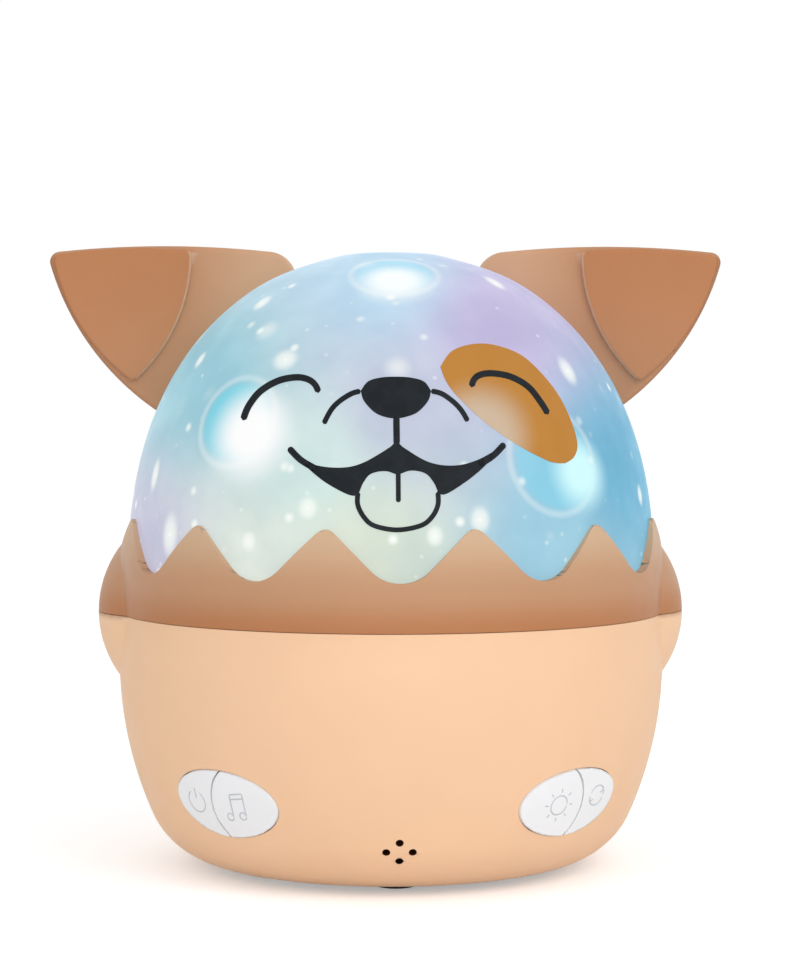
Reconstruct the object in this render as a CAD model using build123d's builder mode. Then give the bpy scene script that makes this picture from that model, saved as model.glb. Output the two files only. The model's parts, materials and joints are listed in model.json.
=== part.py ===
from build123d import *
import os
from math import acos, asin, atan2, cos, degrees, hypot, pi, radians, sin, sqrt, tan

# A puppy-shaped star-projector night light: a lift-off dome with collar and ears, on a bowl base
# that holds four buttons, a speaker, a battery, the boards and a motor-driven star turntable.
# Millimetres. +Z is up, the front faces -Y, and the origin is on the floor under the axis.

# Shared clearances
overrun = 1.0
seat_gap = 0.05
glue_gap = 0.15
part_gap = 0.3
thread_gap = 0.05
running_gap = 0.05

# Bowl of the base
body_radius = 61.0
part_height = 57.0
wall = 2.2
foot_stand = 1.2
flat_share = 0.607
corner_share = 0.7625
side_drop = 10.5
rim_thickness = 2.0

# Side grips, round bosses split by the parting line
grip_radius = 24.2
grip_sink = 19.5

# Dome
dome_shoulder_rise = 9.0
dome_rise = 71.2
dome_power = 2.2
dome_wall = 1.8
dome_steps = 9

# Collar
collar_wall = 2.0
cover_gap = 0.2
lip_height = 1.5
collar_straight = 9.5
collar_tip = 0.55
scallop_count = 12
scallop_low = 10.3
scallop_depth = 11.1
crest_round = 3.2
trough_round = 8.5

# Ears, with outlines as shares across from the inner end and up from the lowest point
ear_setback_share = 0.542
ear_inner_share = 0.36
ear_overhang = 20.6
ear_height = 41.0
ear_crown = 2.8
ear_thickness = 5.0
ear_tip_round = 2.4
ear_edge_round = 1.3
flap_rise = 1.7
flap_corner_round = 1.6
flap_edge_round = 0.8
ear_tip_shares = (1.0, 0.96)
ear_crown_shares = (0.55, 1.0)
ear_shoulder_shares = [(0.10, 0.968), (0.025, 0.907), (0.0, 0.815)]
ear_root_shares = [(0.12, 0.35), (0.33, 0.08)]
ear_low_shares = (0.50, 0.0)
ear_bulge_shares = (0.815, 0.40)
flap_top_shares = [(0.419, 0.972), (0.70, 0.984), (0.978, 0.943)]
flap_outer_shares = (0.797, 0.405)
flap_tip_shares = (0.655, 0.222)
flap_inner_shares = (0.462, 0.62)
ear_peg_shares = (0.22, 0.43)
ear_peg_radius = 2.6
ear_peg_root = 4.0
ear_screw_length = 5.0

# Screws
screw_radius = 1.2
small_screw_radius = 0.8
head_radius_share = 1.9
head_height_share = 1.0
head_round_share = 0.35
slot_length_share = 2.2
slot_width_share = 0.45
slot_depth_share = 0.5
boss_wall = 1.9
grid_rows = 2

# Bottom cover, feet and battery
cover_thickness = 2.2
cover_rebate = 0.8
shelf_width = 5.2
shelf_thickness = 2.0
bottom_screw_count = 4
bottom_screw_inset = 2.7
bottom_screw_length = 7.0
bottom_boss_height = 9.0
foot_count = 4
foot_radius = 4.5
foot_recess = 0.7
foot_inset = 5.7
foot_round = 0.4
battery_width = 28.0
battery_height = 10.0
battery_round = 2.0
tray_room = 3.5
tray_wall = 1.5
tray_height = 5.0
strap_width = 10.0
strap_thickness = 1.2
strap_boss_height = 6.0
strap_screw_length = 5.0

# Deck, the inner top plate
spigot_height = 4.0
spigot_wall = 1.7
deck_drop = 3.5
deck_thickness = 2.4
ledge_width = 2.7
ledge_thickness = 2.0
deck_screw_count = 4
deck_screw_inset = 4.3
deck_screw_length = 9.0
deck_boss_depth = 12.0
deck_rib_width = 2.0

# Turntable, film and gears
thrust_height = 1.2
thrust_radius = 11.0
post_radius = 7.0
post_bore = 3.6
hub_radius = 11.0
hub_rise = 4.5
gear_module = 1.0
gear_teeth = 48
pinion_teeth = 12
pressure_angle = 25.0
tooth_thinning = 0.14
root_depth_share = 1.25
flank_steps = 5
gear_width = 5.0
flange_thickness = 2.0
flange_overhang = 13.0
film_rim_wall = 1.6
film_rim_height = 3.0
film_wall = 1.2
film_skirt = 3.0

# Motor and shaft
shaft_radius = 1.5
pinion_drop = 0.5
motor_radius = 12.0
motor_height = 12.0
motor_round = 1.0
motor_neck_radius = 3.2
motor_bore_depth = 8.0
motor_ear_span = 32.0
motor_ear_thickness = 1.0
motor_ear_radius = 3.4
motor_boss_height = 3.0
motor_screw_length = 5.0

# Light board
led_board_radius = 12.5
board_thickness = 1.6
led_lens_radius = 3.2
led_rim_height = 1.4
chip_led_size = 3.5
chip_led_height = 1.2
chip_led_count = 4
chip_led_radius = 9.0
led_screw_count = 2
led_screw_length = 5.0

# Main board, hung under the deck
main_board_width = 48.0
main_board_front = 16.0
main_board_room = 2.4
main_board_margin = 4.5
board_post_height = 12.0
board_screw_length = 6.0
chip_sizes = [(12.0, 12.0, 1.6), (8.0, 6.0, 1.6), (5.0, 10.0, 5.0)]
chip_places_shares = [(0.0, 0.1), (-0.28, -0.2), (0.3, 0.0)]

# Button ovals, one on each side of the front
oval_across = 36.7
oval_height = 19.7
oval_length = 27.4
oval_breadth = 15.2
oval_tilt = 2.0
oval_gap = 0.2
split_reach = 2.95
split_radius = 10.2
split_gap = 0.3
cap_proud = 0.35
flange_gap = 0.4
flange_thick = 1.0
flange_width = 1.1
press_travel = 0.8
stem_radius = 2.4
stem_depth = 5.6
inner_stem_share = -0.36
outer_stem_share = 0.66
plunger_radius = 1.7
plunger_length = 2.4
plunger_show = 1.2
plunger_room = 0.4
switch_size = 6.0
switch_height = 3.6
switch_board_breadth = 10.0
switch_post_offset = 17.5
switch_post_radius = 2.4
switch_screw_length = 5.0

# Speaker behind the sound holes
sound_height = 11.0
sound_hole_radius = 0.78
sound_spread = 2.75
sound_rise_share = 0.85
speaker_height = 17.0
speaker_radius = 10.0
speaker_depth = 4.4
speaker_rim = 1.0
speaker_basket = 4.0
speaker_back_share = 0.6
speaker_skin = 0.6
speaker_seat_width = 1.2
speaker_ring_wall = 1.3
speaker_ring_grip = 2.0
magnet_radius = 5.5
magnet_height = 3.0
cone_roll_share = 0.9
cone_cap_share = 0.35

# Charging board and socket at the back
charge_board_width = 18.0
charge_board_depth = 17.0
charge_height = 18.0
charge_post_radius = 2.3
charge_post_inset = 3.0
charge_screw_length = 5.0
socket_width = 9.0
socket_height = 3.2
socket_length = 9.5
socket_wall = 0.35
socket_recess = 0.3
socket_tongue_width = 6.6
socket_tongue_height = 0.7
socket_back = 1.0

# Inner leads, each a pair side by side
lead_radius = 0.65
lead_spacing = 3.0
lead_bend = 4.0
lead_run = 8.0
battery_lead_place = 12.0
battery_lead_drop = 3.9
charge_lead_place = 5.0
light_lead_drop = 4.5
light_lead_reach = 22.0
motor_lead_place = 4.0
motor_lead_drop = 8.0
board_lead_share = 0.44

# Worked-out sizes of the bowl's skin
flat_radius = body_radius * flat_share
flat_inset = body_radius - flat_radius
corner_curve = flat_inset * corner_share
side_top = part_height - side_drop
corner_fall = side_top - foot_stand - corner_curve
side_curve = (flat_inset**2 + corner_fall**2 - corner_curve**2) / (flat_inset - corner_curve) / 2
side_centre = (body_radius - side_curve, side_top)
corner_centre = (flat_radius, foot_stand + corner_curve)
side_turn = degrees(atan2(corner_fall, side_curve - flat_inset))

# Worked-out heights and radii
grip_offset = body_radius - grip_sink
dome_radius = body_radius - collar_wall
dome_shoulder = part_height + dome_shoulder_rise
dome_top = dome_shoulder + dome_rise
cover_bottom = part_height + cover_gap
dome_seat = cover_bottom + lip_height
lip_radius = dome_radius - dome_wall
spigot_radius = lip_radius - part_gap
deck_opening = spigot_radius - spigot_wall
deck_radius = deck_opening - glue_gap
deck_seat = part_height - deck_drop
deck_top = deck_seat + deck_thickness
ledge_radius = deck_opening - ledge_width
shelf_bottom = foot_stand + cover_thickness
shelf_top = shelf_bottom + shelf_thickness
cover_opening = flat_radius - cover_rebate
shelf_radius = cover_opening - shelf_width
boss_radius = screw_radius + thread_gap + boss_wall
small_boss_radius = small_screw_radius + thread_gap + boss_wall
turntable_bottom = deck_top + thrust_height + part_gap
flange_bottom = turntable_bottom + gear_width
flange_top = flange_bottom + flange_thickness
hub_top = flange_top + hub_rise
post_top = hub_top + part_gap
gear_radius = gear_module * gear_teeth / 2
pinion_radius = gear_module * pinion_teeth / 2
shaft_offset = gear_radius + pinion_radius
flange_radius = gear_radius + flange_overhang
film_radius = flange_radius - film_rim_wall - glue_gap
board_top = deck_seat - board_post_height
board_bottom = board_top - board_thickness
ear_setback = dome_radius * ear_setback_share
ear_inner_end = dome_radius * ear_inner_share
ear_width = dome_radius + ear_overhang - ear_inner_end
ear_bottom = dome_top + ear_crown - ear_height


def bowl_point(height):
    """Radius of the bowl's outer skin at a height, and how far its normal points down."""
    drop = side_top - height
    if drop < side_curve * sin(radians(side_turn)):
        return side_centre[0] + sqrt(side_curve**2 - drop**2), degrees(asin(drop / side_curve))
    drop = corner_centre[1] - height
    return corner_centre[0] + sqrt(corner_curve**2 - drop**2), degrees(asin(drop / corner_curve))


def bowl_solid(inset, top):
    """The filled bowl, with its skin moved inwards by the inset and a flat top."""
    with BuildPart() as bowl:
        with BuildSketch(Plane.XZ):
            with BuildLine():
                side = CenterArc(side_centre, side_curve - inset, -side_turn, side_turn)
                corner = CenterArc(corner_centre, corner_curve - inset, -90, 90 - side_turn)
                Polyline(side @ 1, (body_radius - inset, top), (0, top), (0, (corner @ 0).Y), corner @ 0)
            make_face()
        revolve(axis=Axis.Z)
    return bowl.part


def grip_solid(inset, low, high):
    """Both side grips as balls about the parting line, kept between two heights."""
    with BuildPart() as grips:
        with Locations((-grip_offset, 0, part_height), (grip_offset, 0, part_height)):
            Sphere(grip_radius - inset)
        split(bisect_by=Plane.XY.offset(low), keep=Keep.TOP)
        split(bisect_by=Plane.XY.offset(high), keep=Keep.BOTTOM)
    return grips.part


def dome_points(grow):
    """Points of the dome's rounded profile, from its shoulder to its top."""
    radius = dome_radius + grow
    rise = dome_top - dome_shoulder + grow
    share = 2 / dome_power
    turns = [pi / 2 * step / (dome_steps - 1) for step in range(1, dome_steps - 1)]
    middle = [(radius * cos(turn) ** share, dome_shoulder + rise * sin(turn) ** share) for turn in turns]
    return [(radius, dome_shoulder), *middle, (0, dome_shoulder + rise)]


def dome_solid(grow, bottom):
    """The filled dome, with its skin moved outwards by grow and a flat bottom."""
    with BuildPart() as filled:
        with BuildSketch(Plane.XZ):
            with BuildLine():
                Spline(dome_points(grow), tangents=[(0, 1), (-1, 0)])
                top = dome_points(grow)[-1]
                Polyline(top, (0, bottom), (dome_radius + grow, bottom), dome_points(grow)[0])
            make_face()
        revolve(axis=Axis.Z)
    return filled.part


def dome_reach(height):
    """Radius of the dome's outer skin at a height."""
    share = (height - dome_shoulder) / (dome_top - dome_shoulder)
    return dome_radius * (1 - share**dome_power) ** (1 / dome_power)


def dome_plane(height, setback, side):
    """Plane on the dome's skin at a height and a distance behind the axis, facing outwards."""
    reach = dome_reach(height)
    across = side * sqrt(reach**2 - setback**2)
    rise = dome_top - dome_shoulder
    outwards = (reach / dome_radius) ** (dome_power - 1) / dome_radius
    upwards = ((height - dome_shoulder) / rise) ** (dome_power - 1) / rise
    normal = Vector(across / reach * outwards, setback / reach * outwards, upwards)
    return Plane(origin=(across, setback, height), z_dir=normal)


def skin_plane(bearing, height, side, tilt):
    """Plane on the bowl's skin, facing outwards, with its x axis tilted up towards the side."""
    radius, fall = bowl_point(height)
    turn = radians(bearing)
    radial = Vector(side * sin(turn), -cos(turn), 0)
    along = Vector(side * cos(turn), sin(turn), 0)
    normal = radial * cos(radians(fall)) - Vector(0, 0, 1) * sin(radians(fall))
    up = radial * sin(radians(fall)) + Vector(0, 0, 1) * cos(radians(fall))
    major = along * cos(radians(tilt)) + up * sin(radians(tilt))
    return Plane(origin=radial * radius + Vector(0, 0, height), x_dir=major, z_dir=normal)


def make_screw(radius, length):
    """Pan-head cross-slot screw, head up, with the underside of its head at the origin."""
    head_height = radius * head_height_share
    with BuildPart() as screw:
        with BuildSketch():
            Circle(radius * head_radius_share)
        extrude(amount=head_height)
        fillet(screw.edges().group_by(Axis.Z)[-1], head_height * head_round_share)
        with BuildSketch():
            Circle(radius)
        extrude(amount=-length)
        with BuildSketch(Plane.XY.offset(head_height)):
            Rectangle(radius * slot_length_share, radius * slot_width_share)
            Rectangle(radius * slot_width_share, radius * slot_length_share)
        extrude(amount=-head_height * slot_depth_share, mode=Mode.SUBTRACT)
    return screw.part


def ring_places(radius, count, start, height):
    """Points spaced evenly round the axis."""
    turns = [radians(start + 360 * step / count) for step in range(count)]
    return [(radius * cos(turn), radius * sin(turn), height) for turn in turns]


def gear_points(teeth, phase):
    """Outline of an involute gear, with a tooth centred on the phase angle."""
    pitch = gear_module * teeth / 2
    base = pitch * cos(radians(pressure_angle))
    root = pitch - gear_module * root_depth_share
    tip = pitch + gear_module
    low = max(base, root)
    slant = tan(radians(pressure_angle)) - radians(pressure_angle)
    half = pi / teeth / 2 - tooth_thinning / pitch / 2
    radii = [low + (tip - low) * step / (flank_steps - 1) for step in range(flank_steps)]
    flank = []
    for radius in radii:
        lean = acos(base / radius)
        flank.append((radius, half + slant - tan(lean) + lean))
    if base > root:
        flank.insert(0, (root, flank[0][1]))
    points = []
    for tooth in range(teeth):
        middle = phase + 2 * pi * tooth / teeth
        sides = [(radius, middle - turn) for radius, turn in flank]
        sides += [(radius, middle + turn) for radius, turn in reversed(flank)]
        points += [(radius * cos(turn), radius * sin(turn)) for radius, turn in sides]
    return points


def make_leads(route):
    """A pair of round leads side by side, along one route of straight runs and tangent arcs."""
    with BuildPart() as leads:
        for side in (-1, 1):
            points = [(x + side * lead_spacing / 2, y, z) for x, y, z in route]
            with BuildLine() as path:
                FilletPolyline(*points, radius=lead_bend)
            with BuildSketch(Plane(origin=path.line @ 0, z_dir=path.line % 0)):
                Circle(lead_radius)
            sweep(path=path.line)
    return leads.part


# Tools for cutting, shared by several pieces
dome_room = dome_solid(glue_gap, dome_seat)
half_wall_bowl = bowl_solid(wall / 2, part_height)

# Dome: a thin translucent shell with holes for the ears' pegs
ear_pegs = {}
for side in (-1, 1):
    heights = [ear_bottom + ear_height * share for share in ear_peg_shares]
    ear_pegs[side] = [dome_plane(height, ear_setback, side) for height in heights]
with BuildPart() as dome:
    add(dome_solid(0, dome_seat))
    add(dome_solid(-dome_wall, dome_seat - overrun), mode=Mode.SUBTRACT)
    for plane in ear_pegs[-1] + ear_pegs[1]:
        with BuildSketch(plane):
            Circle(ear_peg_radius + glue_gap)
        extrude(amount=dome_wall * 2, both=True, mode=Mode.SUBTRACT)
dome.part.label = "dome"

# Collar: a ring with a lip under the dome, a scalloped top edge and grips at its sides
scallop_trough = part_height + scallop_low
scallop_peak = scallop_trough + scallop_depth
collar_bend = part_height + collar_straight
collar_core = dome_radius / 2
collar_top_radius = dome_reach(scallop_peak) + collar_tip
collar_top = scallop_peak + overrun
scallop_half = body_radius * sin(pi / scallop_count)
scallop_high = scallop_depth + overrun * 2
rounds = trough_round + crest_round
slope = atan2(scallop_depth - rounds, scallop_half)
slope += asin(rounds / hypot(scallop_half, scallop_depth - rounds))
run = trough_round * sin(slope)
rise = trough_round * (1 - cos(slope))
crest_run = scallop_half - crest_round * sin(slope)
crest_rise = scallop_depth - crest_round * (1 - cos(slope))
with BuildPart() as collar_grips:
    add(grip_solid(0, cover_bottom, part_height + grip_radius))
    add(dome_room, mode=Mode.SUBTRACT)
    with BuildSketch(Plane.XY.offset(cover_bottom)):
        Circle(lip_radius)
    extrude(amount=lip_height, mode=Mode.SUBTRACT)
with BuildPart() as collar:
    with BuildSketch(Plane.XZ):
        with BuildLine():
            foot = Line((lip_radius, cover_bottom), (body_radius, cover_bottom))
            side = Line(foot @ 1, (body_radius, collar_bend))
            bend = TangentArc(side @ 1, (collar_top_radius, collar_top), tangent=(0, 1))
            core = Polyline(bend @ 1, (collar_core, collar_top), (collar_core, dome_seat))
            Polyline(core @ 1, (lip_radius, dome_seat), foot @ 0)
        make_face()
    revolve(axis=Axis.Z)
    add(dome_room, mode=Mode.SUBTRACT)
    for step in range(scallop_count):
        turn = 2 * pi * step / scallop_count - pi / 2
        outwards = (cos(turn), sin(turn), 0)
        sideways = (-sin(turn), cos(turn), 0)
        with BuildSketch(Plane(origin=(0, 0, scallop_trough), x_dir=sideways, z_dir=outwards)):
            with BuildLine():
                ThreePointArc((-run, rise), (0, 0), (run, rise))
                for way in (-1, 1):
                    Line((way * run, rise), (way * crest_run, crest_rise))
                    lean = (way * cos(slope), sin(slope))
                    JernArc((way * crest_run, crest_rise), lean, crest_round, -way * degrees(slope))
                    Line((way * scallop_half, scallop_depth), (way * scallop_half, scallop_high))
                Line((-scallop_half, scallop_high), (scallop_half, scallop_high))
            make_face()
        extrude(amount=body_radius + overrun, mode=Mode.SUBTRACT)
    add(collar_grips.part)
collar.part.label = "collar"

# Ears: a rounded blade with a raised folded flap, and pegs through the dome's wall
def ear_spot(shares, side):
    """Point of an ear's outline, in the upright plane of the ears."""
    return (side * (ear_inner_end + ear_width * shares[0]), ear_bottom + ear_height * shares[1])


def make_ear(side):
    """One ear, on the left for -1 or the right for 1."""
    back = ear_setback + ear_thickness / 2
    face = ear_setback - ear_thickness / 2
    tip = ear_spot(ear_tip_shares, side)
    shoulder = [ear_spot(shares, side) for shares in ear_shoulder_shares]
    root = [ear_spot(shares, side) for shares in ear_root_shares]
    low = ear_spot(ear_low_shares, side)
    flap_top = [ear_spot(shares, side) for shares in flap_top_shares]
    flap_tip = ear_spot(flap_tip_shares, side)
    with BuildPart() as ear:
        with BuildSketch(Plane.XZ.offset(-back)) as blade:
            with BuildLine():
                ThreePointArc(tip, ear_spot(ear_crown_shares, side), shoulder[0])
                ThreePointArc(*shoulder)
                Polyline(shoulder[-1], *root, low)
                ThreePointArc(low, ear_spot(ear_bulge_shares, side), tip)
            make_face()
            fillet(blade.vertices().sort_by_distance(tip)[0], ear_tip_round)
        extrude(amount=ear_thickness)
        fillet(ear.faces().sort_by(Axis.Y)[0].edges(), ear_edge_round)
        fillet(ear.faces().sort_by(Axis.Y)[-1].edges(), ear_edge_round)
        with BuildSketch(Plane.XZ.offset(-face - ear_thickness / 2)) as flap:
            with BuildLine():
                ThreePointArc(*flap_top)
                ThreePointArc(flap_top[-1], ear_spot(flap_outer_shares, side), flap_tip)
                ThreePointArc(flap_tip, ear_spot(flap_inner_shares, side), flap_top[0])
            make_face()
            fillet(flap.vertices(), flap_corner_round)
        extrude(amount=ear_thickness / 2 + flap_rise)
        fillet(ear.faces().sort_by(Axis.Y)[0].edges(), flap_edge_round)
        add(dome_room, mode=Mode.SUBTRACT)
        for plane in ear_pegs[side]:
            with BuildSketch(plane):
                Circle(ear_peg_radius)
            extrude(amount=ear_peg_root)
            with BuildSketch(plane.offset(-dome_wall)):
                Circle(ear_peg_radius)
            extrude(amount=dome_wall)
            with BuildSketch(plane.offset(-dome_wall)):
                Circle(screw_radius + thread_gap)
            extrude(amount=ear_screw_length, mode=Mode.SUBTRACT)
    return ear


left_ear = make_ear(-1)
left_ear.part.label = "left_ear"
right_ear = make_ear(1)
right_ear.part.label = "right_ear"

with BuildPart() as ear_screws:
    for plane in ear_pegs[-1] + ear_pegs[1]:
        inner = plane.offset(-dome_wall - part_gap)
        with Locations(Plane(origin=inner.origin, z_dir=-inner.z_dir)):
            add(make_screw(screw_radius, ear_screw_length))
ear_screws.part.label = "ear_screws"

# Button ovals: each holds an inner and an outer cap, split by an arc that bulges outwards
oval_bearing = degrees(asin(oval_across / bowl_point(oval_height)[0]))
oval_planes = {side: skin_plane(oval_bearing, oval_height, side, oval_tilt) for side in (-1, 1)}
split_middle = split_reach - split_radius
cap_base = wall + flange_gap + flange_thick
cap_band = bowl_solid(-cap_proud, part_height) - bowl_solid(cap_base, part_height + overrun)
flange_band = bowl_solid(wall + flange_gap, part_height) - bowl_solid(cap_base, part_height + overrun)
switch_top = stem_depth + seat_gap + plunger_show
switch_bottom = switch_top + switch_height
stem_spots = {"inner": oval_length / 2 * inner_stem_share, "outer": oval_length / 2 * outer_stem_share}


def draw_divider(gap, mode):
    """Everything on the inner side of the split line moved out by gap, drawn in the open sketch."""
    reach = split_radius + gap
    with Locations((split_middle, 0)):
        Circle(reach, mode=mode)
    with Locations((split_middle - oval_length / 2, 0)):
        Rectangle(oval_length, reach * 2, mode=mode)


def draw_half(grow, which):
    """Inner or outer half of an oval with its rim moved out by grow, drawn in the open sketch."""
    rim = (oval_length / 2 + grow, oval_breadth / 2 + grow)
    if which == "inner":
        draw_divider(-split_gap / 2, Mode.ADD)
        Ellipse(*rim, mode=Mode.INTERSECT)
    else:
        Ellipse(*rim)
        draw_divider(split_gap / 2, Mode.SUBTRACT)


def make_cap(side, which):
    """A button cap: a curved face, a flange behind the shell and a stem to its switch."""
    plane = oval_planes[side]
    with BuildPart() as flange:
        with BuildSketch(plane):
            draw_half(flange_width, which)
        extrude(amount=oval_length / 2, both=True)
        add(flange_band, mode=Mode.INTERSECT)
    with BuildPart() as cap:
        with BuildSketch(plane):
            draw_half(0, which)
        extrude(amount=oval_length / 2, both=True)
        add(cap_band, mode=Mode.INTERSECT)
        add(flange.part)
        with BuildSketch(plane.offset(-stem_depth)):
            with Locations((stem_spots[which], 0)):
                Circle(stem_radius)
        extrude(amount=stem_depth - cap_base + flange_thick)
    return cap


def make_plunger(side, which):
    """The moving pin of one switch, under a cap's stem."""
    with BuildPart() as plunger:
        with BuildSketch(oval_planes[side].offset(-stem_depth - seat_gap)):
            with Locations((stem_spots[which], 0)):
                Circle(plunger_radius)
        extrude(amount=-plunger_length)
    return plunger


power_button = make_cap(-1, "outer")
power_button.part.label = "power_button"
music_button = make_cap(-1, "inner")
music_button.part.label = "music_button"
light_button = make_cap(1, "inner")
light_button.part.label = "light_button"
rotate_button = make_cap(1, "outer")
rotate_button.part.label = "rotate_button"
power_plunger = make_plunger(-1, "outer")
power_plunger.part.label = "power_plunger"
music_plunger = make_plunger(-1, "inner")
music_plunger.part.label = "music_plunger"
light_plunger = make_plunger(1, "inner")
light_plunger.part.label = "light_plunger"
rotate_plunger = make_plunger(1, "outer")
rotate_plunger.part.label = "rotate_plunger"

# Switches, their boards and the boards' screws
plunger_bore = plunger_length - plunger_show + press_travel + plunger_room
switch_posts = [(-switch_post_offset, 0), (switch_post_offset, 0)]
with BuildPart() as tact_switches:
    for plane in oval_planes.values():
        for spot in stem_spots.values():
            with BuildSketch(plane.offset(-switch_top)):
                with Locations((spot, 0)):
                    Rectangle(switch_size, switch_size)
            extrude(amount=-switch_height)
            with BuildSketch(plane.offset(-switch_top)):
                with Locations((spot, 0)):
                    Circle(plunger_radius + running_gap)
            extrude(amount=-plunger_bore, mode=Mode.SUBTRACT)
tact_switches.part.label = "tact_switches"


def make_switch_board(side):
    """The small board behind one oval."""
    with BuildPart() as board:
        with BuildSketch(oval_planes[side].offset(-switch_bottom)):
            Rectangle((switch_post_offset + switch_post_radius) * 2, switch_board_breadth)
            with Locations(*switch_posts):
                Circle(small_screw_radius + glue_gap, mode=Mode.SUBTRACT)
        extrude(amount=-board_thickness)
    return board


left_switch_board = make_switch_board(-1)
left_switch_board.part.label = "left_switch_board"
right_switch_board = make_switch_board(1)
right_switch_board.part.label = "right_switch_board"
with BuildPart() as switch_screws:
    for plane in oval_planes.values():
        under = plane.offset(-switch_bottom - board_thickness)
        for spot, _ in switch_posts:
            seat = under.origin + under.x_dir * spot
            with Locations(Plane(origin=seat, x_dir=under.x_dir, z_dir=-under.z_dir)):
                add(make_screw(small_screw_radius, switch_screw_length))
switch_screws.part.label = "switch_screws"
with BuildPart() as switch_bosses:
    for plane in oval_planes.values():
        with BuildSketch(plane.offset(-switch_bottom)):
            with Locations(*switch_posts):
                Circle(switch_post_radius)
        extrude(amount=switch_bottom)
    add(half_wall_bowl, mode=Mode.INTERSECT)
    for plane in oval_planes.values():
        with BuildSketch(plane.offset(-switch_bottom)):
            with Locations(*switch_posts):
                Circle(small_screw_radius + thread_gap)
        extrude(amount=switch_screw_length - board_thickness + part_gap, mode=Mode.SUBTRACT)

# Speaker, facing the sound holes from a ring inside the shell
speaker_plane = skin_plane(0, speaker_height, 1, 0)
speaker_axis = Axis(speaker_plane.origin, speaker_plane.z_dir)
speaker_section = Plane(origin=speaker_plane.origin, x_dir=speaker_plane.x_dir, z_dir=speaker_plane.y_dir)
rim_back = speaker_depth + speaker_rim
basket_back = rim_back + speaker_basket
roll_radius = speaker_radius * cone_roll_share
back_radius = speaker_radius * speaker_back_share
cap_radius = speaker_radius * cone_cap_share
cone_depth = speaker_depth + speaker_basket / 2
with BuildPart() as speaker_frame:
    with BuildSketch(speaker_section):
        with BuildLine():
            Polyline(
                (0, basket_back),
                (back_radius, basket_back),
                (speaker_radius, rim_back),
                (speaker_radius, speaker_depth),
                (roll_radius, speaker_depth),
                (roll_radius, rim_back),
                (back_radius - speaker_skin, basket_back - speaker_skin),
                (0, basket_back - speaker_skin),
                close=True,
            )
        make_face()
    revolve(axis=speaker_axis)
speaker_frame.part.label = "speaker_frame"
with BuildPart() as speaker_cone:
    with BuildSketch(speaker_section):
        with BuildLine():
            Polyline(
                (0, speaker_depth + speaker_skin),
                (cap_radius, cone_depth),
                (roll_radius - seat_gap, speaker_depth),
                (roll_radius - seat_gap, speaker_depth + speaker_skin),
                (cap_radius, cone_depth + speaker_skin),
                (0, speaker_depth + speaker_skin * 2),
                close=True,
            )
        make_face()
    revolve(axis=speaker_axis)
speaker_cone.part.label = "speaker_cone"
with BuildPart() as speaker_magnet:
    with BuildSketch(speaker_plane.offset(-basket_back)):
        Circle(magnet_radius)
    extrude(amount=-magnet_height)
speaker_magnet.part.label = "speaker_magnet"
with BuildPart() as speaker_bore:
    with BuildSketch(speaker_plane):
        Circle(speaker_radius - speaker_seat_width)
    extrude(amount=-speaker_depth - overrun)
    add(bowl_solid(wall, part_height), mode=Mode.INTERSECT)
with BuildPart() as speaker_ring:
    with BuildSketch(speaker_plane):
        Circle(speaker_radius + glue_gap + speaker_ring_wall)
    extrude(amount=-rim_back - speaker_ring_grip)
    add(half_wall_bowl, mode=Mode.INTERSECT)
    add(speaker_bore.part, mode=Mode.SUBTRACT)
    with BuildSketch(speaker_plane.offset(-speaker_depth)):
        Circle(speaker_radius + glue_gap)
    extrude(amount=-rim_back, mode=Mode.SUBTRACT)

# Charging board and socket, behind a slot in the back of the shell
charge_top = charge_height + board_thickness
charge_reach = bowl_point(charge_height)[0] - wall
charge_back = sqrt(charge_reach**2 - (charge_board_width / 2) ** 2) - part_gap
charge_middle = charge_back - charge_board_depth / 2
charge_grid = (charge_board_width - charge_post_inset * 2, charge_board_depth - charge_post_inset * 2)
socket_middle = charge_top + socket_height / 2
socket_mouth = bowl_point(socket_middle)[0] - socket_recess
socket_plane = Plane(origin=(0, socket_mouth, socket_middle), x_dir=(-1, 0, 0), z_dir=(0, 1, 0))
charge_plane = Plane(origin=(0, charge_middle, charge_height))
with BuildPart() as charge_board:
    with BuildSketch(charge_plane):
        Rectangle(charge_board_width, charge_board_depth)
        with GridLocations(*charge_grid, grid_rows, grid_rows):
            Circle(small_screw_radius + glue_gap, mode=Mode.SUBTRACT)
    extrude(amount=board_thickness)
charge_board.part.label = "charge_board"
with BuildPart() as charge_screws:
    with GridLocations(*charge_grid, grid_rows, grid_rows):
        with Locations((0, charge_middle, charge_top)):
            add(make_screw(small_screw_radius, charge_screw_length))
charge_screws.part.label = "charge_screws"
with BuildPart() as charge_posts:
    with BuildSketch(charge_plane):
        with GridLocations(*charge_grid, grid_rows, grid_rows):
            Circle(charge_post_radius)
    extrude(amount=-charge_height)
    add(half_wall_bowl, mode=Mode.INTERSECT)
    with BuildSketch(charge_plane):
        with GridLocations(*charge_grid, grid_rows, grid_rows):
            Circle(small_screw_radius + thread_gap)
    extrude(amount=board_thickness - charge_screw_length - part_gap, mode=Mode.SUBTRACT)
with BuildPart() as usb_socket:
    with BuildSketch(socket_plane):
        SlotOverall(socket_width, socket_height)
    extrude(amount=-socket_length)
    with BuildSketch(socket_plane):
        SlotOverall(socket_width - socket_wall * 2, socket_height - socket_wall * 2)
    extrude(amount=socket_back - socket_length, mode=Mode.SUBTRACT)
    with BuildSketch(socket_plane.offset(-socket_back)):
        Rectangle(socket_tongue_width, socket_tongue_height)
    extrude(amount=socket_back - socket_length)
usb_socket.part.label = "usb_socket"

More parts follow.
